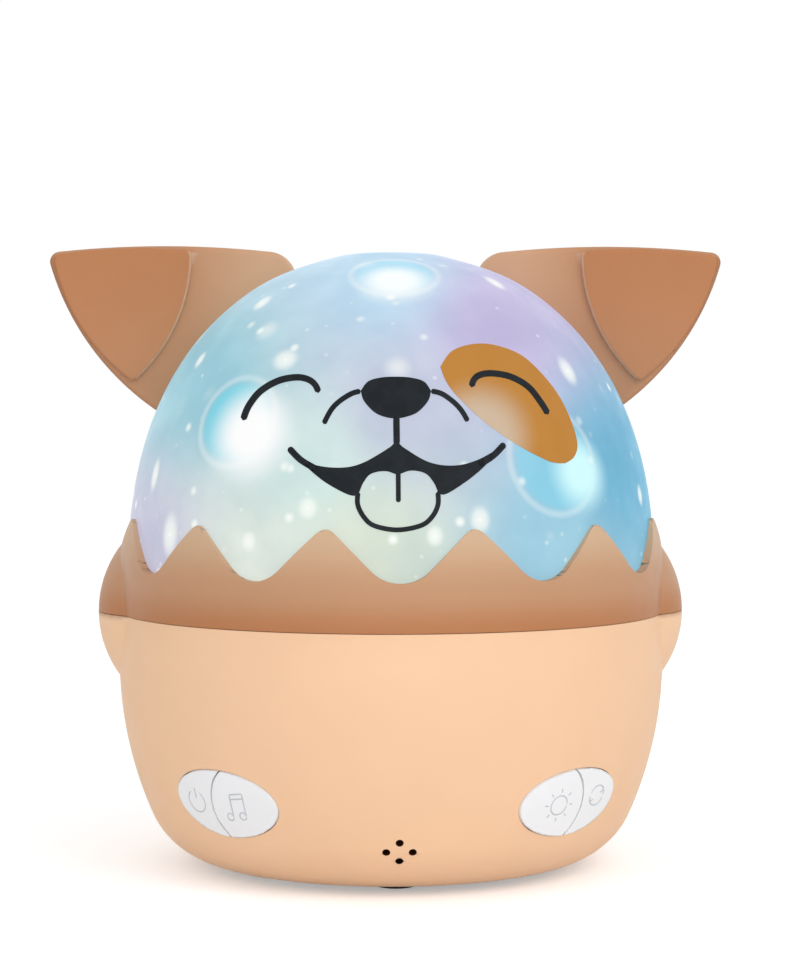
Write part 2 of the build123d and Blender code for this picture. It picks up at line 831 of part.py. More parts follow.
# Base shell: the bowl with its grips, ledge, spigot, bosses and openings
bottom_screw_ring = cover_opening - bottom_screw_inset
deck_screw_ring = deck_radius - deck_screw_inset
spigot_top = part_height + spigot_height
with BuildPart() as cavity:
    add(bowl_solid(wall, part_height - rim_thickness))
    add(grip_solid(wall, part_height - grip_radius, part_height - rim_thickness))
    split(bisect_by=Plane.XY.offset(shelf_top), keep=Keep.TOP)
with BuildPart() as deck_bosses:
    with BuildSketch(Plane.XY.offset(deck_seat)):
        with PolarLocations(deck_screw_ring, deck_screw_count, start_angle=180 / deck_screw_count):
            Circle(boss_radius)
            Rectangle(body_radius - deck_screw_ring, deck_rib_width, align=(Align.MIN, Align.CENTER))
    extrude(amount=-deck_boss_depth)
    add(half_wall_bowl, mode=Mode.INTERSECT)
with BuildPart() as base_shell:
    add(bowl_solid(0, part_height))
    add(grip_solid(0, part_height - grip_radius, part_height))
    add(cavity.part, mode=Mode.SUBTRACT)
    add(switch_bosses.part)
    add(speaker_ring.part)
    add(charge_posts.part)
    with BuildSketch():
        Circle(shelf_radius)
    extrude(amount=shelf_top + overrun, mode=Mode.SUBTRACT)
    with BuildSketch():
        Circle(cover_opening)
    extrude(amount=shelf_bottom, mode=Mode.SUBTRACT)
    with BuildSketch(Plane.XY.offset(part_height - rim_thickness - overrun)):
        Circle(deck_opening)
    extrude(amount=rim_thickness + overrun * 2, mode=Mode.SUBTRACT)
    with BuildSketch(Plane.XZ):
        with BuildLine():
            Polyline(
                (ledge_radius, deck_seat - ledge_thickness),
                (spigot_radius, deck_seat - ledge_thickness),
                (spigot_radius, spigot_top),
                (deck_opening, spigot_top),
                (deck_opening, deck_seat),
                (ledge_radius, deck_seat),
                close=True,
            )
        make_face()
    revolve(axis=Axis.Z)
    add(deck_bosses.part)
    with BuildSketch(Plane.XY.offset(shelf_bottom)):
        with PolarLocations(bottom_screw_ring, bottom_screw_count, start_angle=180 / bottom_screw_count):
            Circle(boss_radius)
    extrude(amount=bottom_boss_height)
    with BuildSketch(Plane.XY.offset(shelf_bottom)):
        with PolarLocations(bottom_screw_ring, bottom_screw_count, start_angle=180 / bottom_screw_count):
            Circle(screw_radius + thread_gap)
    extrude(amount=bottom_screw_length, mode=Mode.SUBTRACT)
    with BuildSketch(Plane.XY.offset(deck_seat)):
        with PolarLocations(deck_screw_ring, deck_screw_count, start_angle=180 / deck_screw_count):
            Circle(screw_radius + thread_gap)
    extrude(amount=-deck_screw_length, mode=Mode.SUBTRACT)
    for plane in oval_planes.values():
        with BuildSketch(plane):
            Ellipse(oval_length / 2 + oval_gap, oval_breadth / 2 + oval_gap)
        extrude(amount=wall * 2, both=True, mode=Mode.SUBTRACT)
    with BuildSketch(skin_plane(0, sound_height, 1, 0)):
        with Locations((-sound_spread, 0), (sound_spread, 0)):
            Circle(sound_hole_radius)
        with Locations((0, -sound_spread * sound_rise_share), (0, sound_spread * sound_rise_share)):
            Circle(sound_hole_radius)
    extrude(amount=-speaker_depth, mode=Mode.SUBTRACT)
    with BuildSketch(socket_plane):
        SlotOverall(socket_width + part_gap * 2, socket_height + part_gap * 2)
    extrude(amount=wall * 2, both=True, mode=Mode.SUBTRACT)
base_shell.part.label = "base_shell"

# Bottom cover with the battery tray, its screws and the rubber feet
cover_radius = cover_opening - glue_gap
foot_ring = cover_opening - foot_inset
head_height = screw_radius * head_height_share
head_radius = screw_radius * head_radius_share
tray_width = battery_width + glue_gap * 2
tray_reach = shelf_radius - tray_room
tray_length = (sqrt(tray_reach**2 - (tray_width / 2 + tray_wall) ** 2) - tray_wall) * 2
battery_length = tray_length - glue_gap * 2
strap_inner = tray_width / 2 + tray_wall + glue_gap
strap_outer = strap_inner + strap_thickness
strap_boss_middle = strap_outer + boss_radius
strap_places = [(0, -strap_boss_middle), (0, strap_boss_middle)]
strap_foot = shelf_bottom + strap_boss_height
battery_top = shelf_bottom + battery_height
strap_top = battery_top + seat_gap + strap_thickness
bottom_head = foot_stand + head_height + glue_gap
with BuildPart() as bottom_cover:
    with BuildSketch(Plane.XY.offset(foot_stand)):
        Circle(cover_radius)
    extrude(amount=cover_thickness)
    with BuildSketch(Plane.XY.offset(shelf_bottom)):
        Rectangle(tray_length + tray_wall * 2, tray_width + tray_wall * 2)
        Rectangle(tray_length, tray_width, mode=Mode.SUBTRACT)
    extrude(amount=tray_height)
    with BuildSketch(Plane.XY.offset(shelf_bottom)):
        with Locations(*strap_places):
            Circle(boss_radius)
    extrude(amount=strap_boss_height)
    with BuildSketch(Plane.XY.offset(strap_foot)):
        with Locations(*strap_places):
            Circle(screw_radius + thread_gap)
    extrude(amount=-strap_screw_length, mode=Mode.SUBTRACT)
    with BuildSketch(Plane.XY.offset(foot_stand)):
        with PolarLocations(foot_ring, foot_count, start_angle=-90):
            Circle(foot_radius + seat_gap)
    extrude(amount=foot_recess, mode=Mode.SUBTRACT)
    with BuildSketch(Plane.XY.offset(foot_stand)):
        with PolarLocations(bottom_screw_ring, bottom_screw_count, start_angle=180 / bottom_screw_count):
            Circle(screw_radius + glue_gap)
    extrude(amount=cover_thickness, mode=Mode.SUBTRACT)
    with BuildSketch(Plane.XY.offset(foot_stand)):
        with PolarLocations(bottom_screw_ring, bottom_screw_count, start_angle=180 / bottom_screw_count):
            Circle(head_radius + glue_gap)
    extrude(amount=head_height + glue_gap, mode=Mode.SUBTRACT)
bottom_cover.part.label = "bottom_cover"
with BuildPart() as bottom_screws:
    for place in ring_places(bottom_screw_ring, bottom_screw_count, 180 / bottom_screw_count, bottom_head):
        with Locations(Plane(origin=place, z_dir=(0, 0, -1))):
            add(make_screw(screw_radius, bottom_screw_length))
bottom_screws.part.label = "bottom_screws"
with BuildPart() as rubber_feet:
    with BuildSketch():
        with PolarLocations(foot_ring, foot_count, start_angle=-90):
            Circle(foot_radius)
    extrude(amount=foot_stand + foot_recess)
    fillet(rubber_feet.edges().group_by(Axis.Z)[0], foot_round)
rubber_feet.part.label = "rubber_feet"
with BuildPart() as battery_cell:
    with BuildSketch(Plane.XY.offset(shelf_bottom)):
        Rectangle(battery_length, battery_width)
    extrude(amount=battery_height)
    fillet(battery_cell.edges().filter_by(Axis.X), battery_round)
battery_cell.part.label = "battery_cell"
with BuildPart() as battery_strap:
    with BuildSketch(Plane.YZ.offset(-strap_width / 2)):
        with BuildLine():
            strap_end = strap_boss_middle + boss_radius
            Polyline(
                (-strap_end, strap_foot),
                (-strap_end, strap_foot + strap_thickness),
                (-strap_outer, strap_foot + strap_thickness),
                (-strap_outer, strap_top),
                (strap_outer, strap_top),
                (strap_outer, strap_foot + strap_thickness),
                (strap_end, strap_foot + strap_thickness),
                (strap_end, strap_foot),
                (strap_inner, strap_foot),
                (strap_inner, battery_top + seat_gap),
                (-strap_inner, battery_top + seat_gap),
                (-strap_inner, strap_foot),
                close=True,
            )
        make_face()
    extrude(amount=strap_width)
    with BuildSketch(Plane.XY.offset(strap_foot)):
        with Locations(*strap_places):
            Circle(screw_radius + glue_gap)
    extrude(amount=strap_thickness, mode=Mode.SUBTRACT)
battery_strap.part.label = "battery_strap"
with BuildPart() as strap_screws:
    for across, along in strap_places:
        with Locations((across, along, strap_foot + strap_thickness)):
            add(make_screw(screw_radius, strap_screw_length))
strap_screws.part.label = "strap_screws"

# Deck: the inner top plate with its post, motor seat and board posts
motor_places = [(-shaft_offset, -motor_ear_span / 2), (-shaft_offset, motor_ear_span / 2)]
main_board_back = sqrt((ledge_radius - main_board_room) ** 2 - (main_board_width / 2) ** 2)
main_board_depth = main_board_back - main_board_front
main_board_middle = main_board_front + main_board_depth / 2
board_grid = (main_board_width - main_board_margin * 2, main_board_depth - main_board_margin * 2)
led_screw_ring = (post_radius + post_bore) / 2
board_plane = Plane(origin=(0, main_board_middle, board_top))
with BuildPart() as deck:
    with BuildSketch(Plane.XY.offset(deck_seat)):
        Circle(deck_radius)
    extrude(amount=deck_thickness)
    with BuildSketch(Plane.XY.offset(deck_top)):
        Circle(thrust_radius)
    extrude(amount=thrust_height)
    with BuildSketch(Plane.XY.offset(deck_top)):
        Circle(post_radius)
    extrude(amount=post_top - deck_top)
    with BuildSketch(Plane.XY.offset(deck_top)):
        with Locations(*motor_places):
            Circle(boss_radius)
    extrude(amount=motor_boss_height)
    with BuildSketch(board_plane):
        with GridLocations(*board_grid, grid_rows, grid_rows):
            Circle(small_boss_radius)
    extrude(amount=board_post_height)
    with BuildSketch(Plane.XY.offset(deck_seat)):
        Circle(post_bore)
        with Locations((-shaft_offset, 0)):
            Circle(motor_neck_radius + glue_gap)
        with PolarLocations(deck_screw_ring, deck_screw_count, start_angle=180 / deck_screw_count):
            Circle(screw_radius + glue_gap)
    extrude(amount=post_top - deck_seat, mode=Mode.SUBTRACT)
    with BuildSketch(Plane.XY.offset(deck_seat)):
        with Locations(*motor_places):
            Circle(screw_radius + thread_gap)
    extrude(amount=motor_screw_length, mode=Mode.SUBTRACT)
    with BuildSketch(board_plane):
        with GridLocations(*board_grid, grid_rows, grid_rows):
            Circle(small_screw_radius + thread_gap)
    extrude(amount=board_screw_length, mode=Mode.SUBTRACT)
    with BuildSketch(Plane.XY.offset(post_top)):
        with PolarLocations(led_screw_ring, led_screw_count):
            Circle(small_screw_radius + thread_gap)
    extrude(amount=-led_screw_length, mode=Mode.SUBTRACT)
deck.part.label = "deck"
with BuildPart() as deck_screws:
    with Locations(*ring_places(deck_screw_ring, deck_screw_count, 180 / deck_screw_count, deck_top)):
        add(make_screw(screw_radius, deck_screw_length))
deck_screws.part.label = "deck_screws"

# Turntable with its gear, and the star film dome that stands on it
with BuildPart() as turntable:
    with BuildSketch(Plane.XY.offset(turntable_bottom)):
        with BuildLine():
            Polyline(*gear_points(gear_teeth, pi), close=True)
        make_face()
    extrude(amount=gear_width)
    with BuildSketch(Plane.XY.offset(flange_bottom)):
        Circle(flange_radius)
    extrude(amount=flange_thickness)
    with BuildSketch(Plane.XY.offset(flange_top)):
        Circle(flange_radius)
        Circle(flange_radius - film_rim_wall, mode=Mode.SUBTRACT)
    extrude(amount=film_rim_height)
    with BuildSketch(Plane.XY.offset(flange_top)):
        Circle(hub_radius)
    extrude(amount=hub_rise)
    with BuildSketch(Plane.XY.offset(turntable_bottom)):
        Circle(post_radius + running_gap)
    extrude(amount=hub_top - turntable_bottom, mode=Mode.SUBTRACT)
turntable.part.label = "turntable"
film_spring = flange_top + film_skirt
film_inner = film_radius - film_wall
with BuildPart() as film_dome:
    with BuildSketch(Plane.XZ):
        with BuildLine():
            skirt = Polyline((film_inner, film_spring), (film_inner, flange_top), (film_radius, flange_top))
            Line(skirt @ 1, (film_radius, film_spring))
            RadiusArc((film_radius, film_spring), (0, film_spring + film_radius), -film_radius)
            Line((0, film_spring + film_radius), (0, film_spring + film_inner))
            RadiusArc((0, film_spring + film_inner), (film_inner, film_spring), film_inner)
        make_face()
    revolve(axis=Axis.Z)
film_dome.part.label = "film_dome"

# Gear motor under the deck, with its shaft and pinion
motor_place = (-shaft_offset, 0)
pinion_top = flange_bottom - pinion_drop
motor_bottom = deck_seat - motor_height
with BuildPart() as gear_motor:
    with BuildSketch(Plane.XY.offset(motor_bottom)):
        with Locations(motor_place):
            Circle(motor_radius)
    extrude(amount=motor_height)
    fillet(gear_motor.edges().group_by(Axis.Z)[0], motor_round)
    with BuildSketch(Plane.XY.offset(deck_seat)):
        with Locations(motor_place):
            SlotCenterToCenter(motor_ear_span, motor_ear_radius * 2, rotation=90)
        with Locations(*motor_places):
            Circle(screw_radius + glue_gap, mode=Mode.SUBTRACT)
    extrude(amount=-motor_ear_thickness)
    with BuildSketch(Plane.XY.offset(deck_seat)):
        with Locations(motor_place):
            Circle(motor_neck_radius)
    extrude(amount=deck_thickness)
    with BuildSketch(Plane.XY.offset(deck_top)):
        with Locations(motor_place):
            Circle(shaft_radius + running_gap)
    extrude(amount=-motor_bore_depth, mode=Mode.SUBTRACT)
gear_motor.part.label = "gear_motor"
with BuildPart() as motor_screws:
    for across, along in motor_places:
        with Locations(Plane(origin=(across, along, deck_seat - motor_ear_thickness), z_dir=(0, 0, -1))):
            add(make_screw(screw_radius, motor_screw_length))
motor_screws.part.label = "motor_screws"
with BuildPart() as motor_shaft:
    with BuildSketch(Plane.XY.offset(pinion_top)):
        with Locations(motor_place):
            Circle(shaft_radius)
    extrude(amount=deck_top - motor_bore_depth + part_gap - pinion_top)
motor_shaft.part.label = "motor_shaft"
with BuildPart() as drive_pinion:
    with BuildSketch(Plane(origin=(-shaft_offset, 0, turntable_bottom))):
        with BuildLine():
            Polyline(*gear_points(pinion_teeth, pi / pinion_teeth), close=True)
        make_face()
        Circle(shaft_radius + seat_gap, mode=Mode.SUBTRACT)
    extrude(amount=pinion_top - turntable_bottom)
drive_pinion.part.label = "drive_pinion"

# Light board on the post
led_top = post_top + board_thickness
lens_shoulder = led_top + led_rim_height
with BuildPart() as led_board:
    with BuildSketch(Plane.XY.offset(post_top)):
        Circle(led_board_radius)
        with PolarLocations(led_screw_ring, led_screw_count):
            Circle(small_screw_radius + glue_gap, mode=Mode.SUBTRACT)
    extrude(amount=board_thickness)
led_board.part.label = "led_board"
with BuildPart() as led_screws:
    with Locations(*ring_places(led_screw_ring, led_screw_count, 0, led_top)):
        add(make_screw(small_screw_radius, led_screw_length))
led_screws.part.label = "led_screws"
with BuildPart() as leds:
    with BuildSketch(Plane.XZ):
        with BuildLine():
            rim = Line((led_lens_radius, led_top), (led_lens_radius, lens_shoulder))
            RadiusArc(rim @ 1, (0, lens_shoulder + led_lens_radius), -led_lens_radius)
            Polyline((0, lens_shoulder + led_lens_radius), (0, led_top), rim @ 0)
        make_face()
    revolve(axis=Axis.Z)
    with BuildSketch(Plane.XY.offset(led_top)):
        with PolarLocations(chip_led_radius, chip_led_count, start_angle=180 / chip_led_count):
            Rectangle(chip_led_size, chip_led_size)
    extrude(amount=chip_led_height)
leds.part.label = "leds"

# Main board, its chips and screws
with BuildPart() as main_board:
    with BuildSketch(board_plane.offset(-board_thickness)):
        Rectangle(main_board_width, main_board_depth)
        with GridLocations(*board_grid, grid_rows, grid_rows):
            Circle(small_screw_radius + glue_gap, mode=Mode.SUBTRACT)
    extrude(amount=board_thickness)
main_board.part.label = "main_board"
with BuildPart() as board_chips:
    for (length, breadth, height), (across, along) in zip(chip_sizes, chip_places_shares):
        with BuildSketch(board_plane.offset(-board_thickness)):
            with Locations((across * main_board_width, along * main_board_depth)):
                Rectangle(length, breadth)
        extrude(amount=-height)
board_chips.part.label = "board_chips"
with BuildPart() as board_screws:
    with GridLocations(*board_grid, grid_rows, grid_rows):
        with Locations(Plane(origin=(0, main_board_middle, board_bottom), z_dir=(0, 0, -1))):
            add(make_screw(small_screw_radius, board_screw_length))
board_screws.part.label = "board_screws"

# Leads between the boards and what they feed
board_middle = board_top - board_thickness / 2
charge_front = charge_back - charge_board_depth - part_gap
charge_lead_level = charge_height + board_thickness / 2
battery_lead_level = battery_top - battery_lead_drop
speaker_back = speaker_plane.offset(-basket_back - magnet_height - glue_gap)
speaker_turn = speaker_back.offset(-lead_run)
light_lead_level = deck_seat - light_lead_drop
motor_lead_level = motor_bottom - motor_lead_drop
board_lead_place = (-main_board_width * board_lead_share, main_board_middle)
leads = {
    "battery_leads": [
        (battery_lead_place, battery_width / 2 + glue_gap, battery_lead_level),
        (battery_lead_place, battery_width / 2 + lead_run, battery_lead_level),
        (charge_lead_place, charge_front - lead_run, charge_lead_level),
        (charge_lead_place, charge_front, charge_lead_level),
    ],
    "speaker_leads": [
        tuple(speaker_back.origin),
        tuple(speaker_turn.origin),
        (0, main_board_front - lead_run, board_middle),
        (0, main_board_front - glue_gap, board_middle),
    ],
    "light_leads": [
        (0, 0, post_top - glue_gap),
        (0, 0, light_lead_level),
        (0, light_lead_reach, light_lead_level),
        (0, light_lead_reach, board_top + glue_gap),
    ],
    "motor_leads": [
        (-shaft_offset, motor_lead_place, motor_bottom - glue_gap),
        (-shaft_offset, motor_lead_place, motor_lead_level),
        (*board_lead_place, motor_lead_level),
        (*board_lead_place, board_bottom - glue_gap),
    ],
}

# Every piece to its own file
pieces = [dome, collar, left_ear, right_ear, ear_screws]
pieces += [base_shell, bottom_cover, bottom_screws, rubber_feet]
pieces += [power_button, music_button, light_button, rotate_button]
pieces += [power_plunger, music_plunger, light_plunger, rotate_plunger]
pieces += [tact_switches, left_switch_board, right_switch_board, switch_screws]
pieces += [speaker_frame, speaker_cone, speaker_magnet, charge_board, charge_screws, usb_socket]
pieces += [battery_cell, battery_strap, strap_screws, deck, deck_screws, turntable, film_dome]
pieces += [gear_motor, motor_screws, motor_shaft, drive_pinion, led_board, led_screws, leds]
pieces += [main_board, board_chips, board_screws]
os.makedirs("parts", exist_ok=True)
for name in pieces:
    export_step(name.part, f"parts/{name.part.label}.step")
for name, route in leads.items():
    pair = make_leads(route)
    pair.label = name
    export_step(pair, f"parts/{name}.step")
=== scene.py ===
import json
from math import cos, hypot, pi, radians, sin

import bpy
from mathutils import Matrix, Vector


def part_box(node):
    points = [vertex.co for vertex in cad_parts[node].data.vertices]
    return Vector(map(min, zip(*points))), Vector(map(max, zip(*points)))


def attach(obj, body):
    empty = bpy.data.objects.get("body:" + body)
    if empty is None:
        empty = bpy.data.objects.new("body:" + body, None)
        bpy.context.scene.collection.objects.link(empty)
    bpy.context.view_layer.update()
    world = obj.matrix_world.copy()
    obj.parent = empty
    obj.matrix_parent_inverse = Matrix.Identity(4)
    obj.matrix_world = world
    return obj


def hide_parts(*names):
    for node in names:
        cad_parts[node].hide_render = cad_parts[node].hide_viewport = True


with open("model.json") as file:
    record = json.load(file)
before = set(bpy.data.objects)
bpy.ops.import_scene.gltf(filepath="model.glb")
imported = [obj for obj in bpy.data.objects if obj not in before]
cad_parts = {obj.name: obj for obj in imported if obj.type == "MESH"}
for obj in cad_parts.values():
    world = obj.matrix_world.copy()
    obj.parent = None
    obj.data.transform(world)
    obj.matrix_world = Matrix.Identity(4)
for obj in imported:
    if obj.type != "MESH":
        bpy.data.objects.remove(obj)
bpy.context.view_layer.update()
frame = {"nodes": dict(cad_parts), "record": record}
scene = bpy.context.scene
mm = 0.001

# Sizes that the surfaces below share with the solid pieces
body_radius = 61 * mm
bowl_curve, bowl_top = 85.24 * mm, 46.5 * mm
sound_height = 11 * mm
ear_back = 34.48 * mm
dome_shoulder, dome_power = 66 * mm, 2.2
dome_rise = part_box("dome")[1].z - dome_shoulder

# Size of the moulded grain, and the sharpest bend that shades as one surface
mould_grain, edge_angle = 0.5 * mm, radians(32)


# Helpers for materials

def add_node(tree, kind, **settings):
    made = tree.nodes.new(kind)
    for key, value in settings.items():
        setattr(made, key, value)
    return made


def feed(tree, socket, value):
    """Links a socket to another node's output, or sets a plain number, vector or colour."""
    if isinstance(value, bpy.types.NodeSocket):
        tree.links.new(value, socket)
    elif socket.type == "RGBA":
        socket.default_value = (*value, 1.0)
    else:
        socket.default_value = value


def maths(tree, operation, first, second=0.0):
    made = add_node(tree, "ShaderNodeMath", operation=operation)
    feed(tree, made.inputs[0], first)
    feed(tree, made.inputs[1], second)
    return made.outputs[0]


def vector_maths(tree, operation, first, second=(0.0, 0.0, 0.0), output="Vector"):
    made = add_node(tree, "ShaderNodeVectorMath", operation=operation)
    feed(tree, made.inputs[0], first)
    feed(tree, made.inputs[1], second)
    return made.outputs[output]


def scaled(tree, vector, factor):
    made = add_node(tree, "ShaderNodeVectorMath", operation="SCALE")
    feed(tree, made.inputs[0], vector)
    feed(tree, made.inputs["Scale"], factor)
    return made.outputs["Vector"]


def spread(tree, value, start, end, low=0.0, high=1.0):
    """A smooth change from low to high as the value goes from start to end."""
    made = add_node(tree, "ShaderNodeMapRange", interpolation_type="SMOOTHSTEP")
    feed(tree, made.inputs["Value"], value)
    feed(tree, made.inputs["From Min"], start)
    feed(tree, made.inputs["From Max"], end)
    feed(tree, made.inputs["To Min"], low)
    feed(tree, made.inputs["To Max"], high)
    return made.outputs["Result"]


def mixed(tree, factor, first, second, blend="MIX"):
    made = add_node(tree, "ShaderNodeMix", data_type="RGBA", blend_type=blend)
    feed(tree, made.inputs[0], factor)
    feed(tree, made.inputs[6], first)
    feed(tree, made.inputs[7], second)
    return made.outputs[2]


def place_of(tree):
    return add_node(tree, "ShaderNodeTexCoord").outputs["Object"]


def axes_of(tree):
    made = add_node(tree, "ShaderNodeSeparateXYZ")
    tree.links.new(place_of(tree), made.inputs[0])
    return made.outputs


def noise(tree, size, detail=2.0, stretch=(1.0, 1.0, 1.0)):
    """Noise with marks of about this size."""
    made = add_node(tree, "ShaderNodeTexNoise")
    made.inputs["Scale"].default_value = 1 / size
    made.inputs["Detail"].default_value = detail
    tree.links.new(vector_maths(tree, "MULTIPLY", place_of(tree), stretch), made.inputs["Vector"])
    return made.outputs["Fac"]


def cells(tree, size, output="Distance"):
    made = add_node(tree, "ShaderNodeTexVoronoi")
    made.inputs["Scale"].default_value = 1 / size
    tree.links.new(place_of(tree), made.inputs["Vector"])
    return made.outputs[output]


def new_material(name):
    material = bpy.data.materials.new(name)
    material.use_nodes = True
    return material, material.node_tree, material.node_tree.nodes["Principled BSDF"]


def bumped(tree, shader, height, strength, depth):
    bump = add_node(tree, "ShaderNodeBump")
    bump.inputs["Strength"].default_value = strength
    bump.inputs["Distance"].default_value = depth
    tree.links.new(height, bump.inputs["Height"])
    tree.links.new(bump.outputs["Normal"], shader.inputs["Normal"])


def finish_plastic(tree, shader, colour, roughness):
    """Moulded plastic: a faint cloud in the colour, a fine spark-eroded grain and uneven gloss."""
    cloud = spread(tree, noise(tree, 14 * mm), 0.3, 0.7)
    shade = mixed(tree, cloud, (0.985, 0.985, 0.98), (1.0, 1.0, 1.0))
    feed(tree, shader.inputs["Base Color"], mixed(tree, 1.0, colour, shade, "MULTIPLY"))
    shader.inputs["Specular IOR Level"].default_value = 0.14
    gloss = spread(tree, noise(tree, 5 * mm), 0.3, 0.7, roughness - 0.04, roughness + 0.04)
    feed(tree, shader.inputs["Roughness"], gloss)
    bumped(tree, shader, noise(tree, mould_grain), 0.12, 0.05 * mm)


def moulded_plastic(name, dark, light, roughness):
    material, tree, shader = new_material(name)
    colour = mixed(tree, noise(tree, 30 * mm, 1.0), dark, light)
    finish_plastic(tree, shader, colour, roughness)
    return material


def worked_metal(name, dark, light, roughness, stretch=(1.0, 1.0, 1.0)):
    """Plated metal with fine drawn lines and a little tarnish."""
    material, tree, shader = new_material(name)
    lines = noise(tree, 0.5 * mm, 3.0, stretch)
    tarnish = spread(tree, noise(tree, 4 * mm), 0.35, 0.75)
    feed(tree, shader.inputs["Base Color"], mixed(tree, tarnish, light, dark))
    shader.inputs["Metallic"].default_value = 1.0
    feed(tree, shader.inputs["Roughness"], spread(tree, lines, 0.2, 0.8, roughness - 0.08, roughness + 0.12))
    bumped(tree, shader, lines, 0.15, 0.03 * mm)
    return material


# Materials of the lamp's outside

def peach_plastic():
    """Peach plastic, with the shade inside the sound holes."""
    material, tree, shader = new_material("peach_plastic")
    colour = mixed(tree, noise(tree, 30 * mm, 1.0), (0.905, 0.58, 0.365), (0.925, 0.60, 0.38))
    lean = (sound_height - bowl_top) / bowl_curve
    level = (1 - lean**2)**0.5
    sound_middle = (0.0, -body_radius + bowl_curve * (1 - level), sound_height)
    offset = vector_maths(tree, "SUBTRACT", place_of(tree), sound_middle)
    sideways = vector_maths(tree, "DOT_PRODUCT", offset, (1.0, 0.0, 0.0), "Value")
    upwards = vector_maths(tree, "DOT_PRODUCT", offset, (0.0, lean, level), "Value")
    drawn = add_node(tree, "ShaderNodeCombineXYZ")
    feed(tree, drawn.inputs["X"], maths(tree, "ABSOLUTE", sideways))
    feed(tree, drawn.inputs["Y"], maths(tree, "ABSOLUTE", upwards))
    side_hole = vector_maths(tree, "DISTANCE", drawn.outputs[0], (2.75 * mm, 0.0, 0.0), "Value")
    end_hole = vector_maths(tree, "DISTANCE", drawn.outputs[0], (0.0, 2.34 * mm, 0.0), "Value")
    shade = spread(tree, maths(tree, "MINIMUM", side_hole, end_hole), 0.88 * mm, 0.80 * mm)
    finish_plastic(tree, shader, mixed(tree, shade, colour, (0.04, 0.011, 0.003)), 0.5)
    return material


def collar_plastic():
    """Brown plastic with painted light: darker at the bottom and paler upwards, where the lamp shines
    through the thin peaks.
    """
    material, tree, shader = new_material("collar_plastic")
    height = axes_of(tree)["Z"]
    # Painted light by height: darker at the bottom, paler up the peaks.
    lower = mixed(tree, spread(tree, height, 57 * mm, 66 * mm), (0.48, 0.20, 0.085), (0.55, 0.295, 0.165))
    colour = mixed(tree, spread(tree, height, 65 * mm, 78 * mm), lower, (0.64, 0.43, 0.275))
    finish_plastic(tree, shader, colour, 0.42)
    return material


def ear_plastic():
    """Brown plastic, deeper on the folded flap, with painted light: paler towards the lit dome, a painted
    highlight on edges that face the dome and painted shade on edges that face away.
    """
    material, tree, shader = new_material("ear_plastic")
    axes = axes_of(tree)
    reach = maths(tree, "ABSOLUTE", axes["X"])
    # Painted light: the inside face is paler near the lit dome.
    inside_with_glow = mixed(tree, spread(tree, reach, 28 * mm, 50 * mm), (0.64, 0.375, 0.225), (0.545, 0.27, 0.145))
    climb = spread(tree, axes["Z"], 108 * mm, 140 * mm)
    flap = mixed(tree, climb, (0.545, 0.245, 0.12), (0.51, 0.215, 0.092))
    off_flap = spread(tree, axes["Y"], 28.2 * mm, 29.2 * mm)
    colour = mixed(tree, off_flap, flap, inside_with_glow)
    # Painted highlight where a face turns towards the dome, and painted shade where it turns away.
    normal = add_node(tree, "ShaderNodeSeparateXYZ")
    tree.links.new(add_node(tree, "ShaderNodeNewGeometry").outputs["Normal"], normal.inputs[0])
    outward = maths(tree, "MULTIPLY", maths(tree, "SIGN", axes["X"]), normal.outputs["X"])
    colour = mixed(tree, spread(tree, outward, -0.2, -0.65, 0.0, 0.75), colour, (0.72, 0.46, 0.31))
    colour = mixed(tree, spread(tree, outward, 0.25, 0.8, 0.0, 0.7), colour, (0.36, 0.15, 0.065))
    finish_plastic(tree, shader, colour, 0.5)
    return material


def printed_ink(name, dark, light):
    """Screen-printed ink with a slightly uneven coat."""
    material, tree, shader = new_material(name)
    coat = spread(tree, noise(tree, 3 * mm), 0.35, 0.7)
    feed(tree, shader.inputs["Base Color"], mixed(tree, coat, dark, light))
    shader.inputs["Specular IOR Level"].default_value = 0.1
    feed(tree, shader.inputs["Roughness"], spread(tree, noise(tree, 1.2 * mm), 0.3, 0.7, 0.4, 0.5))
    bumped(tree, shader, noise(tree, 0.4 * mm), 0.08, 0.02 * mm)
    return material


def patch_ink():
    """Ochre eye patch that fades to beige along its lower edge towards the mouth."""
    material, tree, shader = new_material("patch_ink")
    beige_spot = (16.5 * mm, 0.0, 97.0 * mm)
    flat = vector_maths(tree, "MULTIPLY", place_of(tree), (1.0, 0.0, 1.0))
    away = vector_maths(tree, "DISTANCE", flat, beige_spot, "Value")
    ochre = mixed(tree, noise(tree, 6 * mm), (0.47, 0.20, 0.03), (0.52, 0.23, 0.045))
    colour = mixed(tree, spread(tree, away, 13.5 * mm, 5 * mm), ochre, (0.58, 0.44, 0.31))
    feed(tree, shader.inputs["Base Color"], colour)
    shader.inputs["Specular IOR Level"].default_value = 0.15
    feed(tree, shader.inputs["Roughness"], spread(tree, noise(tree, 1.2 * mm), 0.3, 0.7, 0.42, 0.5))
    bumped(tree, shader, noise(tree, 0.4 * mm), 0.08, 0.02 * mm)
    return material


# Washes of colour that the lamp throws on the dome: across and height of the middle, then the colour
crown_blue = (-3, 131, (0.51, 0.72, 0.88))
teal = (-42, 108, (0.31, 0.60, 0.70))
violet = (20, 119, (0.57, 0.49, 0.74))
pale_grey = (0, 103, (0.55, 0.58, 0.72))
# This darker wash paints shade on the dome's right edge.
deep_blue_shade = (49, 89, (0.12, 0.43, 0.63))
sky_blue = (33, 75, (0.35, 0.62, 0.76))
mint = (-18, 91, (0.63, 0.80, 0.77))
cream = (-7, 76, (0.69, 0.76, 0.63))
pearl = (-30, 72, (0.74, 0.81, 0.74))
lavender = (-55, 72, (0.58, 0.56, 0.71))
dome_washes = (crown_blue, teal, violet, pale_grey, deep_blue_shade, sky_blue, mint, cream, pearl, lavender)

